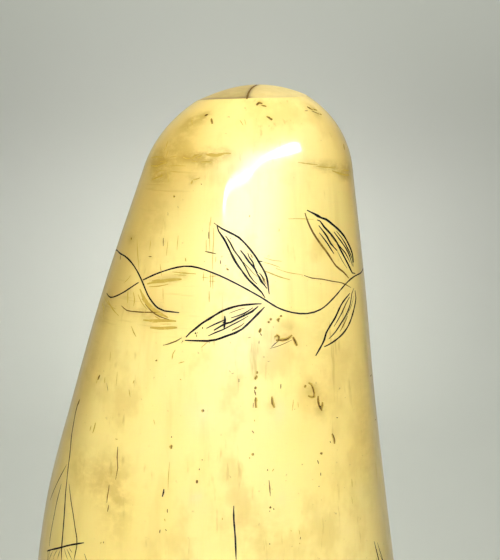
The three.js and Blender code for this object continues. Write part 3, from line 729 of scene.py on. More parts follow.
# Dashes, nicks and pits that took up dirt.
SPOTS = [
    ("fine brown", [-7.2, 131.4, -6.8, 130.8]),
    ("fine faint", [-4.8, 130.6, -4.5, 130.5]),
    ("line brown", [-3.5, 130.1, -3.8, 129.9]),
    ("fine brown", [-4.2, 134.9, -4, 134.8]),
    ("fine faint", [3.2, 138.5, 3.2, 138.2]),
    ("hair faint", [16.8, 136.4, 16.8, 135.9]),
    ("line brown", [-56.2, 134.3, -55, 134]),
    ("fine brown", [-39.8, 131.6, -38, 131.6]),
    ("line brown", [15.2, 122.2, 15, 121.8], [14.5, 121.7, 14.2, 121.4], [19, 122.6, 19, 122.3],
        [18.5, 122.1, 17.8, 121.8, 18.2, 121.5], [11.5, 120.6, 11, 119.9]),
    ("fine brown", [11.5, 119.8, 12, 119.4]),
    ("hair brown", [11.2, 118.6, 11.2, 118.1]),
    ("line brown", [17, 119.1, 17.8, 119.4, 18.5, 119.1, 18.5, 118.7, 17.5, 118.5], [17.5, 118.6,
        20, 118.6, 22, 118.8, 23.5, 119.3]),
    ("hair ink", [18.5, 118.5, 17, 118, 15.8, 117.5]),
    ("hair brown", [15.2, 117.3, 18, 117.6, 20.5, 118, 23.5, 118.5]),
    ("bold brown", [23.8, 119, 24.5, 118.4, 25.5, 117.5]),
    ("line brown", [11.2, 113.7, 11.2, 113.3], [11.2, 113, 10.5, 112.4], [11, 111.3, 10.8, 110.8]),
    ("fine brown", [10.5, 110.7, 11.2, 109.8]),
    ("line brown", [11.2, 109.5, 11.2, 108.6, 11.5, 107.8]),
    ("hair brown", [10.5, 108.6, 10.5, 107.8]),
    ("fine brown", [19.8, 111.5, 19.8, 110.7]),
    ("line brown", [16.8, 109.5, 16.8, 109, 17, 108.4, 17.8, 107.7]),
    ("hair faint", [24.5, 108.8, 24.2, 107.8, 24, 107], [26, 108.4, 26.2, 107.4]),
    ("line brown", [28.5, 110.6, 29, 111], [30, 111.3, 31, 111, 31.8, 110.3, 32.2, 109.5, 32.2, 108.9,
        31, 108.9, 29.8, 109.2]),
    ("bold brown", [33.8, 108.9, 33.8, 107.9, 34.2, 107.3, 35.2, 106.4]),
    ("line brown", [35.5, 107.8, 35.2, 106.7]),
    ("edge ink", [34, 107.4, 34.5, 107.1, 35, 106.6]),
    ("fine brown", [41.2, 104.8, 42, 104.7]),
    ("line brown", [39, 102.3, 39.8, 101.4, 39.8, 100.5]),
    ("fine brown", [38, 101.1, 38.2, 100.8]),
    ("fine faint", [11.2, 105.9, 11.2, 105.6]),
    ("fine brown", [10.5, 104.1, 11.2, 103.7]),
    ("line brown", [11.2, 100.5, 11.2, 100.1]),
    ("fine faint", [10.2, 99.9, 10.2, 99.6]),
    ("fine brown", [16, 97.8, 16, 97.5]),
    ("fine faint", [17.5, 97.4, 18, 97.8]),
    ("fine brown", [32.8, 98.4, 33.2, 97.7]),
    ("line brown", [33.8, 99.4, 34.8, 99.3]),
    ("fine brown", [33.8, 96.2, 33.8, 95.7], [33, 94.1, 33, 93.9]),
    ("fine faint", [30.8, 95.4, 30.8, 95.3]),
    ("fine brown", [16.5, 96, 16.8, 94.7, 16.8, 94.2, 17, 93.4]),
    ("bold brown", [17, 91.7, 17.2, 91.4]),
    ("fine brown", [18, 91.4, 18.2, 91.1], [16.8, 91, 17, 90.9]),
    ("line brown", [-50.2, 111.3, -50.8, 110.4]),
    ("fine faint", [-51, 110.3, -51.2, 109.7]),
    ("hair brown", [-45, 110.3, -43.5, 109.1]),
    ("fine faint", [-46.8, 111.2, -46.2, 110.2]),
    ("hair faint", [-47.2, 115.5, -46.2, 113.9], [-41, 112.5, -40, 110.2]),
    ("line brown", [-25.8, 115.2, -25.5, 115]),
    ("fine faint", [-32.8, 111.6, -33, 111], [-34.2, 110, -33, 108.8], [-15.8, 112.4, -15.2, 112.2]),
    ("line brown", [-6.5, 107.6, -6.2, 107.2]),
    ("hair faint", [-22.8, 105.6, -22, 104.8]),
    ("fine brown", [-15.8, 103.1, -15.8, 102.9]),
    ("line brown", [-15.2, 101.7, -15.5, 101.4, -15.2, 101.1]),
    ("line faint", [-46, 103.5, -46, 102.6, -46.2, 101.7]),
    ("fine faint", [-48, 102.8, -48, 101.9], [-35.5, 101.7, -34.5, 101.7]),
    ("fine brown", [-33.8, 100.5, -33.2, 98.7, -32.2, 97.1, -32.2, 95.9, -32.2, 95.2], [-34.2, 94.2,
        -34, 93.3, -34, 92.2, -33.8, 91.2], [-33, 90.9, -33, 89.8]),
    ("fine faint", [-33.8, 84.4, -33.5, 84.6]),
    ("fine brown", [-32.8, 84.8, -32.8, 84.5]),
    ("edge ink", [-15.8, 94.6, -15.8, 94, -16, 93.3]),
    ("hair faint", [-15.2, 99, -15, 96.9, -14.5, 94.5]),
    ("bold brown", [-5.8, 96.2, -5.8, 95.7]),
    ("fine brown", [-5.5, 98.1, -5.5, 97.8], [-5, 99.6, -4.8, 99.4], [-14, 91.4, -13.8, 90.8]),
    ("fine faint", [-14.5, 89.8, -14.2, 89.4]),
    ("fine brown", [-15.5, 88, -15.5, 87.4], [-14, 88.1, -13.5, 87.9]),
    ("hair faint", [25.8, 87.4, 26, 86.6]),
    ("fine brown", [26.2, 86.2, 26.2, 85.8]),
    ("fine faint", [25.8, 85.2, 26, 85]),
    ("fine brown", [16.8, 85.7, 17, 85.5]),
    ("fine faint", [2.8, 90.2, 2.8, 89.8], [23.2, 87.5, 23.5, 87.3]),
    ("hair faint", [63, 94.5, 63.2, 92.9, 63.5, 91.2]),
    ("fine faint", [46.5, 93.8, 46.5, 92.4]),
    ("hair faint", [45.8, 90.8, 46, 89.6]),
    ("bold brown", [1, 155.9, 3, 156.3, 5.8, 156.2]),
    ("line brown", [1.8, 156.4, 4.2, 156.4], [5, 155.9, 8.8, 155.7], [8.5, 154.1, 10, 153.9,
        12, 153.5]),
    ("bold brown", [11, 153.8, 12, 153.5], [43.5, 155.8, 45, 155.6, 47.2, 155.3]),
    ("line brown", [48.8, 155.4, 52.8, 155.3]),
    ("fine brown", [45.2, 155.1, 49.2, 154.8, 52.2, 154.6]),
    ("bold brown", [53.2, 154.7, 53.8, 154.5]),
    ("fine brown", [38, 155.1, 41.2, 155.1]),
    ("bold brown", [-34.8, 154.2, -32.8, 154.5]),
    ("fine faint", [-37.5, 154.1, -35.5, 154.2]),
    ("line brown", [-28.2, 153.8, -25.5, 152.9]),
    ("hair faint", [-43.8, 154.1, -42.2, 153.4, -37.8, 152.6]),
    ("line faint", [22.8, 158.1, 21.8, 157.6]),
    ("line brown", [64.5, 149.8, 62.8, 148.8]),
    ("hair faint", [-8.8, 153.5, -5.8, 152.6], [-5.8, 153.6, -4.2, 152.7]),
    ("line brown", [-35, 141.4, -34, 141.3]),
    ("bold faint", [-45.8, 144.8, -47, 144.4]),
    ("fine faint", [-52.8, 150.3, -51.2, 149.2, -51.8, 148.7], [-47.8, 148.5, -47.5, 147.6]),
    ("hair faint", [-42.8, 145.4, -40, 143.6]),
    ("line faint", [-26.8, 144, -27, 143.3]),
    ("fine brown", [-22, 143.4, -21.5, 143.3]),
]
# Level streaks of stain below the tip.
STAIN_STREAKS = [
    ("fine faint", [-64.8, 147.5, -56.2, 147.6, -49.8, 147.5], [-35.5, 147.6, -32.8, 147.4,
        -30.8, 147.4]),
    ("line faint", [-30, 147.4, -28.8, 147.8, -26.5, 148], [-26.8, 147.5, -24.5, 147.9]),
    ("broad faint", [-22.8, 148, -20, 148.1, -16.8, 147.9, -13.2, 148.2, -9.8, 148.2]),
    ("line faint", [-22, 147.9, -18.8, 147.8, -15.2, 147.9], [-24.2, 146.8, -21.8, 146.9,
        -18.8, 146.8]),
    ("fine faint", [-29.5, 147, -26, 146.9]),
    ("line faint", [-60, 146.2, -52.8, 146.2, -48, 146.6, -44.2, 146.7]),
    ("fine faint", [-51.2, 146.9, -45.5, 147]),
    ("hair faint", [-45.8, 146.1, -39.5, 146.3, -32, 146.2]),
    ("line faint", [-53.5, 143.9, -48.8, 144.4, -45, 144.5]),
    ("fine faint", [-51.5, 145, -48.8, 145.4, -44.8, 145.5], [-26.5, 144, -24, 144.2, -23, 144.4]),
    ("hair faint", [-41.2, 145.4, -34.8, 145.2], [-44.2, 147.6, -38.8, 147.8]),
    ("fine faint", [25.2, 146.8, 29.5, 146.6, 36.5, 146.4], [35.2, 146.2, 41.8, 146, 49.2, 146]),
    ("line faint", [46, 145.4, 54.2, 144.8, 63, 144.6]),
    ("fine faint", [54.8, 145.5, 64, 145.4]),
]


def scattered_marks():
    """Small pits and short scratches all round, so that no side is bare."""
    marks = []
    for _ in range(46):
        angle = RANDOM.uniform(62, 305)
        height = RANDOM.uniform(6, 150)
        if abs(height - VINE_LEVEL) < 13 and RANDOM.random() < 0.6:
            continue
        length = RANDOM.uniform(0.6, 3.2)
        upright = RANDOM.random() < 0.6
        end = (angle + (0.3 if upright else length * 2), height - (length if upright else 0.2))
        ink = "brown" if RANDOM.random() < 0.7 else "ink"
        kind = "hair" if RANDOM.random() < 0.5 else "fine"
        marks.append(stroke([(angle, height), end], kind, ink))
    for _ in range(16):
        angle = RANDOM.uniform(-60, 60)
        height = RANDOM.uniform(5, 74)
        end = (angle + 0.4, height - RANDOM.uniform(0.8, 3.0))
        marks.append(stroke([(angle, height), end], "hair", "brown"))
    return marks


def wear():
    marks = drawn(HATCHING) + haloes(SPOTS) + drawn(SPOTS, 0.03)
    return marks + drawn(STAIN_STREAKS, 0.03) + scattered_marks()


def fissure():
    points = resampled(np.array([facet_point(dx, dy) for dx, dy in FISSURE]), 0.5)
    normal = np.array([0, -FACET["rise"], 1]) / math.hypot(1, FACET["rise"])
    normals = np.tile(normal, (len(points), 1))
    vertices, faces = v_cut(points, normals, ends=(0.9, 0.3), lift=1.2, **LINES["crack"])
    return {"vertices": vertices, "faces": faces, "ink": "crack"}


# Materials

SLOTS = {
    "ivory": 0, "facet": 1, "root": 2, "hollow": 3, "ink": 4, "brown": 5, "faint": 6, "crack": 7,
}


class Graph:
    """A material's node tree, with short calls that add nodes and link them."""

    def __init__(self, name):
        self.material = bpy.data.materials.new(name)
        self.material.use_nodes = True
        self.tree = self.material.node_tree
        self.tree.nodes.clear()

    def node(self, kind, inputs=(), **settings):
        node = self.tree.nodes.new(kind)
        for key, value in settings.items():
            setattr(node, key, value)
        for key, value in dict(inputs).items():
            self.put(node.inputs[key], value)
        return node

    def put(self, socket, value):
        if isinstance(value, bpy.types.NodeSocket):
            self.tree.links.new(value, socket)
        else:
            socket.default_value = value

    def place(self):
        return self.node("ShaderNodeTexCoord").outputs["Object"]

    def noise(self, scale, detail, roughness, stretch=(1, 1, 1)):
        mapping = self.node("ShaderNodeMapping", {"Vector": self.place(), "Scale": stretch})
        return self.node("ShaderNodeTexNoise", {
            "Vector": mapping.outputs[0], "Scale": scale, "Detail": detail,
            "Roughness": roughness}).outputs["Fac"]

    def attribute(self, name):
        return self.node("ShaderNodeAttribute", attribute_name=name).outputs["Fac"]

    def math(self, operation, *values):
        return self.node("ShaderNodeMath", enumerate(values), operation=operation).outputs[0]

    def ramp(self, value, low, high, out_low=0.0, out_high=1.0):
        return self.node("ShaderNodeMapRange", {
            "Value": value, "From Min": low, "From Max": high,
            "To Min": out_low, "To Max": out_high}, interpolation_type="SMOOTHSTEP").outputs[0]

    def mix(self, factor, one, other):
        inputs = {0: factor, 6: one, 7: other}
        return self.node("ShaderNodeMix", inputs, data_type="RGBA").outputs[2]

    def bump(self, height, distance, strength, below=None):
        inputs = {"Height": height, "Distance": distance, "Strength": strength}
        if below is not None:
            inputs["Normal"] = below
        return self.node("ShaderNodeBump", inputs).outputs[0]

    def finish(self, **sockets):
        shader = self.node("ShaderNodeBsdfPrincipled")
        for key, value in sockets.items():
            self.put(shader.inputs[key.replace("_", " ")], value)
        output = self.node("ShaderNodeOutputMaterial")
        self.tree.links.new(shader.outputs[0], output.inputs[0])
        return self.material


def colour(r, g, b):
    return (r, g, b, 1.0)


IVORY = {
    "pale": colour(0.90, 0.745, 0.27), "warm": colour(0.87, 0.69, 0.22),
    "deep": colour(0.68, 0.49, 0.13), "stain": colour(0.45, 0.285, 0.03),
    "dirt": colour(0.30, 0.18, 0.03),
}
SCATTER = (0.004, 0.0025, 0.0008)


def ivory_colour(graph):
    """Cream-yellow ivory, clouded, streaked lengthwise, stained where the masks say, with painted shade
    on its sides.
    """
    cloud = graph.noise(38, 3, 0.5, (1, 1, 0.6))
    streak = graph.noise(300, 4, 0.6, (1, 1, 0.07))
    base = graph.mix(graph.ramp(cloud, 0.38, 0.68), IVORY["pale"], IVORY["warm"])
    base = graph.mix(graph.ramp(streak, 0.5, 0.75, 0, 0.3), base, IVORY["deep"])
    thread = graph.noise(1100, 3, 0.6, (1, 1, 0.035))
    patch = graph.noise(110, 4, 0.6, (1, 1, 0.7))
    threads = graph.math("MULTIPLY", graph.ramp(thread, 0.58, 0.72), graph.ramp(patch, 0.42, 0.62))
    base = graph.mix(graph.ramp(threads, 0, 1, 0, 0.5), base, IVORY["stain"])
    base = graph.mix(graph.ramp(patch, 0.48, 0.66, 0, 0.5), base, IVORY["deep"])
    # Partly painted shade: this mask darkens the left and right sides, where the front light falls off,
    # and elsewhere adds darker tone of age.
    aged_and_side_shade = graph.attribute("aged_and_side_shade")
    base = graph.mix(graph.ramp(aged_and_side_shade, 0, 1, 0, 0.95), base, IVORY["deep"])
    blot = graph.noise(330, 6, 0.65, (1, 1, 1.5))
    stained = graph.math("MULTIPLY", graph.attribute("stain"), graph.ramp(blot, 0.3, 0.6, 0.25, 1))
    base = graph.mix(graph.ramp(stained, 0, 1, 0, 0.85), base, IVORY["stain"])
    scratch = graph.noise(900, 3, 0.6, (0.12, 0.12, 2.4))
    worked = graph.math("MULTIPLY", graph.attribute("scratch"), graph.ramp(scratch, 0.58, 0.68))
    base = graph.mix(graph.ramp(worked, 0, 1, 0, 0.5), base, IVORY["stain"])
    pit = graph.noise(1300, 2, 0.5)
    pits = graph.math("MULTIPLY", graph.attribute("pitted"), graph.ramp(pit, 0.71, 0.77, 0, 0.8))
    return graph.mix(pits, base, IVORY["dirt"])


def ivory_material():
    graph = Graph("polished_ivory")
    wave = graph.noise(55, 2, 0.4)
    fine = graph.noise(700, 5, 0.6, (1, 1, 0.25))
    scratch = graph.noise(1400, 2, 0.5, (1, 1, 0.04))
    relief = graph.bump(wave, 0.0003, 0.6)
    relief = graph.bump(fine, 0.00002, 0.6, relief)
    relief = graph.bump(scratch, 0.000015, 0.5, relief)
    rough = graph.ramp(fine, 0.35, 0.7, 0.3, 0.42)
    return graph.finish(
        Base_Color=ivory_colour(graph), Roughness=rough, Normal=relief, IOR=1.45,
        Subsurface_Weight=0.12, Subsurface_Radius=SCATTER, Subsurface_Scale=1.0,
        Coat_Weight=0.5, Coat_Roughness=0.05, Coat_IOR=1.5)


def facet_material():
    """The worn tip: duller than the sides, brown at its front left and along the fissure."""
    graph = Graph("worn_tip")
    cloud = graph.noise(240, 5, 0.6)
    cream = colour(0.80, 0.635, 0.235)
    base = graph.mix(graph.ramp(cloud, 0.35, 0.65), cream, colour(0.70, 0.53, 0.17))
    mottle = graph.noise(520, 4, 0.65)
    tan = graph.math("MULTIPLY", graph.attribute("tan"), graph.ramp(mottle, 0.25, 0.7, 0.7, 1))
    base = graph.mix(tan, base, colour(0.42, 0.30, 0.075))
    base = graph.mix(graph.attribute("brown"), base, colour(0.22, 0.13, 0.02))
    relief = graph.bump(graph.noise(500, 5, 0.6), 0.00012, 0.7)
    return graph.finish(Base_Color=base, Roughness=0.42, Normal=relief, IOR=1.45,
                        Subsurface_Weight=0.1, Subsurface_Radius=SCATTER, Subsurface_Scale=1.0)


# In the root: how close the growth rings lie, and where the darker rim starts and is full.
RING_RATE = 5200.0
RIM = (0.0262, 0.0285)


def root_material():
    """Sawn dentine: growth rings about the hollow, saw marks straight across."""
    graph = Graph("sawn_root")
    middle = (HOLLOW["x"] + float(SHIFT[0])) * MM
    shape = graph.node("ShaderNodeMapping", {
        "Vector": graph.place(), "Location": (-middle, 0, 0),
        "Scale": (1, 1 / DEPTH_RATIO, 0)}).outputs[0]
    far = graph.node("ShaderNodeVectorMath", {0: shape}, operation="LENGTH").outputs["Value"]
    ring = graph.math("SINE", graph.math("MULTIPLY", far, RING_RATE))
    uneven = graph.noise(180, 4, 0.6)
    rings = graph.math("MULTIPLY", graph.ramp(ring, -0.2, 1), graph.ramp(uneven, 0.35, 0.7))
    cream = colour(0.86, 0.74, 0.44)
    base = graph.mix(graph.ramp(uneven, 0.3, 0.7), cream, colour(0.76, 0.60, 0.30))
    base = graph.mix(graph.ramp(rings, 0, 1, 0, 0.45), base, colour(0.58, 0.40, 0.16))
    rim = graph.ramp(far, *RIM)
    base = graph.mix(graph.ramp(rim, 0, 1, 0, 0.6), base, colour(0.70, 0.52, 0.22))
    saw = graph.noise(600, 3, 0.6, (0.05, 1, 1))
    relief = graph.bump(saw, 0.00012, 0.8)
    return graph.finish(Base_Color=base, Roughness=0.55, Normal=relief, IOR=1.54)


def hollow_material():
    graph = Graph("pulp_hollow")
    cloud = graph.noise(90, 5, 0.6)
    fine = graph.noise(600, 5, 0.65)
    tan = colour(0.60, 0.44, 0.20)
    base = graph.mix(graph.ramp(cloud, 0.35, 0.65), tan, colour(0.36, 0.23, 0.09))
    base = graph.mix(graph.ramp(fine, 0.5, 0.75, 0, 0.6), base, colour(0.20, 0.12, 0.05))
    relief = graph.bump(cloud, 0.0008, 0.6)
    relief = graph.bump(fine, 0.0002, 0.8, relief)
    return graph.finish(Base_Color=base, Roughness=0.75, Normal=relief, IOR=1.5)


def ink_material(name, dark, light, roughness):
    """Pigment in a cut line, a little broken where it has worn out."""
    graph = Graph(name)
    worn = graph.noise(1300, 3, 0.6)
    base = graph.mix(graph.ramp(worn, 0.5, 0.8), dark, light)
    relief = graph.bump(worn, 0.00005, 0.5)
    return graph.finish(
        Base_Color=base, Roughness=roughness, Normal=relief, Specular_IOR_Level=0.1)


def tooth_materials():
    return [
        ivory_material(), facet_material(), root_material(), hollow_material(),
        ink_material("black_ink", colour(0.005, 0.0035, 0.002), colour(0.035, 0.024, 0.008), 0.6),
        ink_material("brown_dirt", colour(0.17, 0.095, 0.012), colour(0.38, 0.23, 0.035), 0.6),
        ink_material("faint_line", colour(0.55, 0.38, 0.065), colour(0.74, 0.55, 0.13), 0.6),
        ink_material("fissure_dark", colour(0.18, 0.105, 0.02), colour(0.30, 0.18, 0.04), 0.7),
    ]


# Stain masks and one of painted shade, as soft blots: angle, height, half size in degrees and
# millimetres, weight.
# The first mask is partly painted shade: its large blots at about -80 and 78 degrees darken the left
# and right sides; the rest is darker tone of age.
AGED_AND_SIDE_SHADE = [
    (-64, 150, 40, 20, 0.5), (-78, 128, 24, 26, 0.8), (-82, 92, 32, 64, 0.85),
    (78, 112, 26, 74, 1.0), (-30, 124, 20, 5, 0.3), (20, 119, 12, 4, 0.3),
    (140, 130, 50, 24, 0.6), (200, 60, 60, 30, 0.35), (120, 40, 40, 26, 0.4), (0, 8, 180, 9, 0.7),
    (260, 100, 30, 50, 0.6), (-15, 95, 6, 24, 0.2), (-45, 146, 22, 9, 0.45),
    (66, 150, 22, 12, 0.35),
]
STAINS = [
    (-17, 148.1, 8, 1.0, 1.0), (-30, 147.6, 7, 0.9, 0.9), (-22, 146.8, 5, 0.8, 0.9),
    (-52, 146.4, 10, 1.0, 0.9), (-49, 144.4, 9, 1.2, 0.8), (-58, 148, 14, 1.6, 0.6),
    (-27, 144.1, 4, 1.0, 0.6), (-42, 150, 14, 4, 0.45), (34, 146.6, 9, 0.9, 0.5),
    (46, 145.9, 10, 1.0, 0.6), (58, 144.9, 8, 1.2, 0.9), (66, 146, 8, 2, 0.5),
    (49, 155.2, 6, 1.4, 0.9), (-34, 154.2, 5, 1.0, 0.7), (-44, 153.4, 8, 1.6, 0.6),
    (4, 156.2, 4, 0.9, 0.5), (-62, 122.5, 8, 3.5, 0.7), (-33, 122.9, 10, 1.3, 0.6),
    (-29, 128, 8, 0.9, 0.6), (-22, 129.2, 5, 0.9, 0.5), (-27, 120.9, 10, 1.2, 0.35),
    (21.5, 120, 4, 2.2, 0.45), (31, 110.2, 3, 1.6, 0.6), (34.6, 107, 3, 2.0, 0.6),
    (17, 108.4, 2.5, 1.8, 0.45), (11, 108.8, 2, 2.4, 0.3), (-56, 134.2, 4, 1.2, 0.5),
    (-50.5, 110.6, 3, 1.4, 0.4), (150, 146, 60, 1.6, 0.8), (230, 144, 40, 2.6, 0.6),
    (110, 112, 20, 6, 0.35), (190, 30, 40, 12, 0.35), (-60, 60, 20, 20, 0.25),
    (0, 3, 180, 4, 0.7), (260, 118, 16, 4, 0.4), (170, 92, 14, 5, 0.35), (-37, 95, 8, 5, 0.5),
    (-29, 90, 5, 7, 0.4), (-60, 112, 9, 6, 0.4), (-50, 96, 6, 5, 0.35), (38, 118, 12, 9, 0.3),
    (57, 100, 8, 16, 0.35), (-44, 138, 14, 8, 0.35), (12, 88, 14, 5, 0.3),
]
SCRATCHES = [
    (-30, 124, 18, 6, 0.7), (-44, 144, 22, 6, 0.6), (170, 120, 50, 12, 0.6),
    (100, 70, 30, 20, 0.4), (44, 146, 20, 2.5, 0.5), (250, 80, 34, 30, 0.5),
    (-60, 122, 12, 8, 0.6),
]
PITTED = [
    (-30, 130, 50, 24, 0.5), (20, 112, 26, 12, 0.6), (10, 152, 70, 7, 0.7), (20, 95, 40, 24, 0.4),
    (160, 80, 120, 80, 0.5), (0, 20, 180, 24, 0.5),
]


def blots(angle, height, rows):
    total = np.zeros(len(angle))
    for a, z, wide, tall, weight in rows:
        away = (angle - a + 180) % 360 - 180
        total += weight * np.exp(-(away / wide) ** 2 - ((height - z) / tall) ** 2)
    return np.clip(total, 0, 1)


# On the worn tip: how tan its right and left are, and how brown the rim and the fissure's
# edges, with the reach of the fissure's close and wide shading.
TAN = {"right": 0.12, "left_adds": 0.8}
BROWN = {"right": 0.12, "left_adds": 0.75, "close": (0.85, 0.42), "wide": (0.25, 1.3)}


def facet_masks(points):
    """Where the worn tip is tan, and where it is brown along its front rim and its fissure."""
    line = resampled(FISSURE, 0.3) + [FACET["x"], FACET["y"]]
    away = np.linalg.norm(points[:, None, :2] - line[None], axis=-1).min(1)
    height = points[:, 2]
    half = np.maximum(half_width(np.minimum(height, LENGTH - 0.01)), 1e-3)
    x = np.abs(points[:, 0] - run_on(RUN, 1, height)) / half
    y = np.abs(points[:, 1] - run_on(LEAN, 1, height)) / (half * DEPTH_RATIO)
    out = (x ** SECTION_POWER + y ** SECTION_POWER) ** (1 / SECTION_POWER)
    side = smoothstep(-(points[:, 0] - FACET["x"]), 0.6, 3.0)
    tan = TAN["right"] + TAN["left_adds"] * side
    brown = smoothstep(out, 0.9, 0.99) * (BROWN["right"] + BROWN["left_adds"] * side)
    brown = brown * smoothstep(-points[:, 1], 6, 9)
    for weight, reach in (BROWN["close"], BROWN["wide"]):
        brown = brown + weight * np.exp(-(away / reach) ** 2)
    return tan, np.clip(brown, 0, 1)


def paint(obj):
    """Writes the stain masks and the painted side shade onto the finished mesh, from where each vertex
    lies.
    """
    mesh = obj.data
    flat = np.empty(len(mesh.vertices) * 3)
    mesh.vertices.foreach_get("co", flat)
    points = flat.reshape(-1, 3) / MM - SHIFT
    height = points[:, 2]
    x = points[:, 0] - run_on(RUN, 1, height)
    y = points[:, 1] - run_on(LEAN, 1, height)
    angle = np.degrees(np.arctan2(x, -y / DEPTH_RATIO))
    masks = {"aged_and_side_shade": blots(angle, height, AGED_AND_SIDE_SHADE), "stain": blots(angle, height, STAINS),
             "scratch": blots(angle, height, SCRATCHES), "pitted": blots(angle, height, PITTED)}
    masks["tan"], masks["brown"] = facet_masks(points)
    for name, values in masks.items():
        layer = mesh.attributes.new(name, "FLOAT", "POINT")
        layer.data.foreach_set("value", values.astype(np.float32))


# Corners that the cutting leaves closer than this are one corner.
SLIVER = 0.0015 * MM


def clear_slivers(work):
    """Joins corners that all but meet, and takes out the folded pairs of faces it leaves."""
    bmesh.ops.remove_doubles(work, verts=work.verts, dist=SLIVER)
    bmesh.ops.dissolve_degenerate(work, edges=work.edges, dist=SLIVER)
    bmesh.ops.triangulate(work, faces=[face for face in work.faces if len(face.verts) > 3])
    work.verts.index_update()
    same = {}
    for face in work.faces:
        same.setdefault(frozenset(vert.index for vert in face.verts), []).append(face)
    folded = [face for faces in same.values() if len(faces) > 1 for face in faces]
    bmesh.ops.delete(work, geom=folded, context="FACES")


def crisp_edges(obj):
    """Edges between two materials stay sharp, so that cuts and the facet read cleanly."""
    work = bmesh.new()
    work.from_mesh(obj.data)
    clear_slivers(work)
    for edge in work.edges:
        faces = edge.link_faces
        if len(faces) == 2 and faces[0].material_index != faces[1].material_index:
            edge.smooth = False
    for face in work.faces:
        face.smooth = True
    work.to_mesh(obj.data)
    work.free()


def build_tooth():
    materials = tooth_materials()
    obj = tooth_shell(materials)
    cut_away(obj, facet_cutter(materials[SLOTS["facet"]]))
    cuts = vine() + ships() + drawn(RIGGING) + wear() + [fissure()]
    cut_strokes(obj, cuts, materials)
    crisp_edges(obj)
    paint(obj)
    return obj


# Stage

CAMERA = {"x": 6.25, "y": -146.0, "z": 148.23, "down": 9.0, "lens": 51.43}


def add_camera():
    data = bpy.data.cameras.new("camera")
    data.sensor_width = 36.0
    data.lens = CAMERA["lens"]
    data.clip_start = 0.005
    obj = bpy.data.objects.new("camera", data)
    bpy.context.scene.collection.objects.link(obj)
    obj.location = metres([CAMERA["x"], CAMERA["y"], CAMERA["z"]])
    obj.rotation_euler = (math.radians(90 - CAMERA["down"]), 0, 0)
    bpy.context.scene.camera = obj


def backdrop_material():
    graph = Graph("grey_paper_painted_shade")
    place = graph.node("ShaderNodeSeparateXYZ", {0: graph.place()}).outputs
    # Painted shade: the wall is darker low down and higher up, and palest in a band behind the tooth.
    rising = graph.ramp(place[2], -0.05, 0.14)
    lower = graph.mix(rising, colour(0.55, 0.57, 0.50), colour(0.66, 0.67, 0.60))
    base = graph.mix(graph.ramp(place[2], 0.16, 0.34), lower, colour(0.60, 0.62, 0.54))
    # Painted shade: near black under and in front of the tooth, fading out behind it, so that the floor
    # throws little light back onto the tooth's sides.
    near = graph.ramp(place[1], 0.02, 0.13, 1, 0)
    base = graph.mix(near, base, colour(0.10, 0.10, 0.09))
    return graph.finish(Base_Color=base, Roughness=0.9)


# The backdrop, in metres.
SHEET = {"near": -0.9, "far": 0.42, "bend": 0.18, "top": 1.2, "wide": 1.4, "steps": 12}


def add_backdrop():
    """A sheet that lies under the tooth and curves up behind it, its colour painted with shade."""
    bend = SHEET["bend"]
    start = SHEET["far"] - bend
    line = [(SHEET["near"], 0.0), (start, 0.0)]
    for k in range(1, SHEET["steps"] + 1):
        turn = math.pi / 2 * k / SHEET["steps"]
        line.append((start + bend * math.sin(turn), bend - bend * math.cos(turn)))
    line.append((SHEET["far"], SHEET["top"]))
    vertices = [(x, y, z) for y, z in line for x in (-SHEET["wide"], SHEET["wide"])]
    faces = [(2 * i, 2 * i + 1, 2 * i + 3, 2 * i + 2) for i in range(len(line) - 1)]
    sheet = new_object("backdrop", vertices, faces, [backdrop_material()])


def aim(obj, target):
    away = Vector(target) - obj.location
    obj.rotation_euler = away.to_track_quat("-Z", "Y").to_euler()


def area_light(name, location, target, size, power, tint=(1, 1, 1)):
    data = bpy.data.lights.new(name, "AREA")
    data.shape = "RECTANGLE"
    data.size, data.size_y = size
    data.energy = power
    data.color = tint
    obj = bpy.data.objects.new(name, data)
    bpy.context.scene.collection.objects.link(obj)
    obj.location = location
    aim(obj, target)
    return obj


def soft_light(name, location, size, power, tint=(1, 1, 1), target=(0, 0, 0.11)):
    """A large diffuse source that the polish doesn't mirror."""
    light = area_light(name, location, target, size, power, tint)
    light.visible_glossy = False
    light.visible_camera = False
    return light


# The curved window light that the polish mirrors: angle and height on the tooth, width, brightness.
STRIP = [
    (25.0, 149.2, 2.6, 1.0), (20.0, 148.8, 2.6, 1.0), (15.8, 148.4, 2.2, 1.0),
    (11.5, 147.9, 1.6, 1.0), (7.8, 147.3, 1.05, 1.0), (3.8, 146.6, 0.7, 1.0),
    (0.0, 145.7, 0.52, 1.0), (-3.0, 144.9, 0.46, 1.0), (-6.0, 143.9, 0.42, 1.0),
    (-8.2, 143.0, 0.42, 1.0), (-9.2, 142.0, 0.42, 1.0), (-9.2, 140.9, 0.4, 0.9),
    (-8.5, 139.6, 0.38, 0.8), (-7.2, 138.0, 0.3, 0.5), (-6.2, 136.2, 0.3, 0.3),
    (-5.8, 134.3, 0.3, 0.2), (-7.2, 131.2, 0.3, 0.12), (-8.0, 126.8, 0.3, 0.1),
    (-8.0, 122.0, 0.3, 0.1), (-8.3, 118.0, 0.3, 0.15),
]
STRIP_BEADS = 48
BEAD = 0.03
# Small level glints: angle, height, brightness.
GLINTS = [
    (-6.2, 107.1, 0.16), (19.8, 106.8, 0.14), (20.0, 92.8, 0.16), (-5.8, 93.4, 0.2),
    (16.8, 117.9, 0.16),
]
GLINT_SIZE = (0.04, 0.008)
SHEEN = {"angle": 8.0, "height": 143.0, "size": (0.22, 0.3), "power": 0.8}
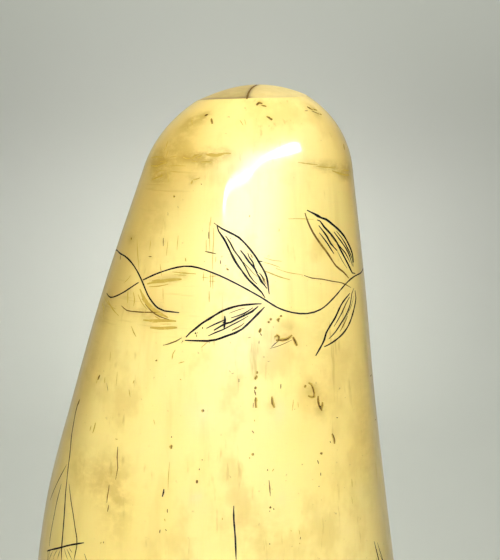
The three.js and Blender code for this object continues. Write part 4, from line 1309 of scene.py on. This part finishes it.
# Watts of a mirrored light, and how far it stands from the tooth, in millimetres.
MIRROR_POWER = 0.08
MIRROR_REACH = 450


def mirrored_light(name, angle, height, size, power):
    """A small light where the camera sees it mirrored at a place on the tooth."""
    place = skin(angle, height)
    normal = skin_normal(angle, height)
    sight = place - np.array([CAMERA["x"], CAMERA["y"], CAMERA["z"]])
    sight /= np.linalg.norm(sight)
    away = sight - 2 * np.dot(sight, normal) * normal
    light = area_light(name, metres(place + away * MIRROR_REACH), metres(place), size, power)
    light.visible_diffuse = False
    light.visible_transmission = False
    light.visible_camera = False


def window_light():
    """Small lights in a row, spaced evenly along the strip."""
    rows = np.array(STRIP)
    gaps = np.linalg.norm(np.diff(skin(rows[:, 0], rows[:, 1]), axis=0), axis=1)
    run = np.concatenate([[0], np.cumsum(gaps)])
    for i, place in enumerate(np.linspace(0, run[-1], STRIP_BEADS)):
        angle, height, wide, bright = (float(np.interp(place, run, column)) for column in rows.T)
        power = MIRROR_POWER * bright * wide * wide
        mirrored_light(f"window_{i}", angle, height, (BEAD * wide, BEAD * wide), power)


def add_lights():
    front = soft_light("front", (0.03, -0.62, 0.3), (0.06, 0.26), 0.148, (1, 0.985, 0.95))
    front.data.spread = math.radians(24)
    soft_light("above", (0.0, -0.2, 0.8), (0.5, 0.5), 1.5)
    soft_light("wall", (0.05, 0.14, 0.6), (0.9, 0.3), 2.4, (0.985, 1, 1), (0.05, 0.42, 0.16))
    window_light()
    mirrored_light("sheen", **SHEEN)
    for i, (angle, height, bright) in enumerate(GLINTS):
        mirrored_light(f"glint_{i}", angle, height, GLINT_SIZE, MIRROR_POWER * bright)
    world = bpy.data.worlds.new("room")
    world.use_nodes = True
    sky = world.node_tree.nodes["Background"].inputs
    sky["Color"].default_value = colour(0.80, 0.82, 0.80)
    sky["Strength"].default_value = 0.06
    bpy.context.scene.world = world


bpy.context.scene.view_settings.view_transform = "Standard"
add_camera()
tooth = build_tooth()
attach(tooth, "root")
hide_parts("tooth")
add_backdrop()
add_lights()
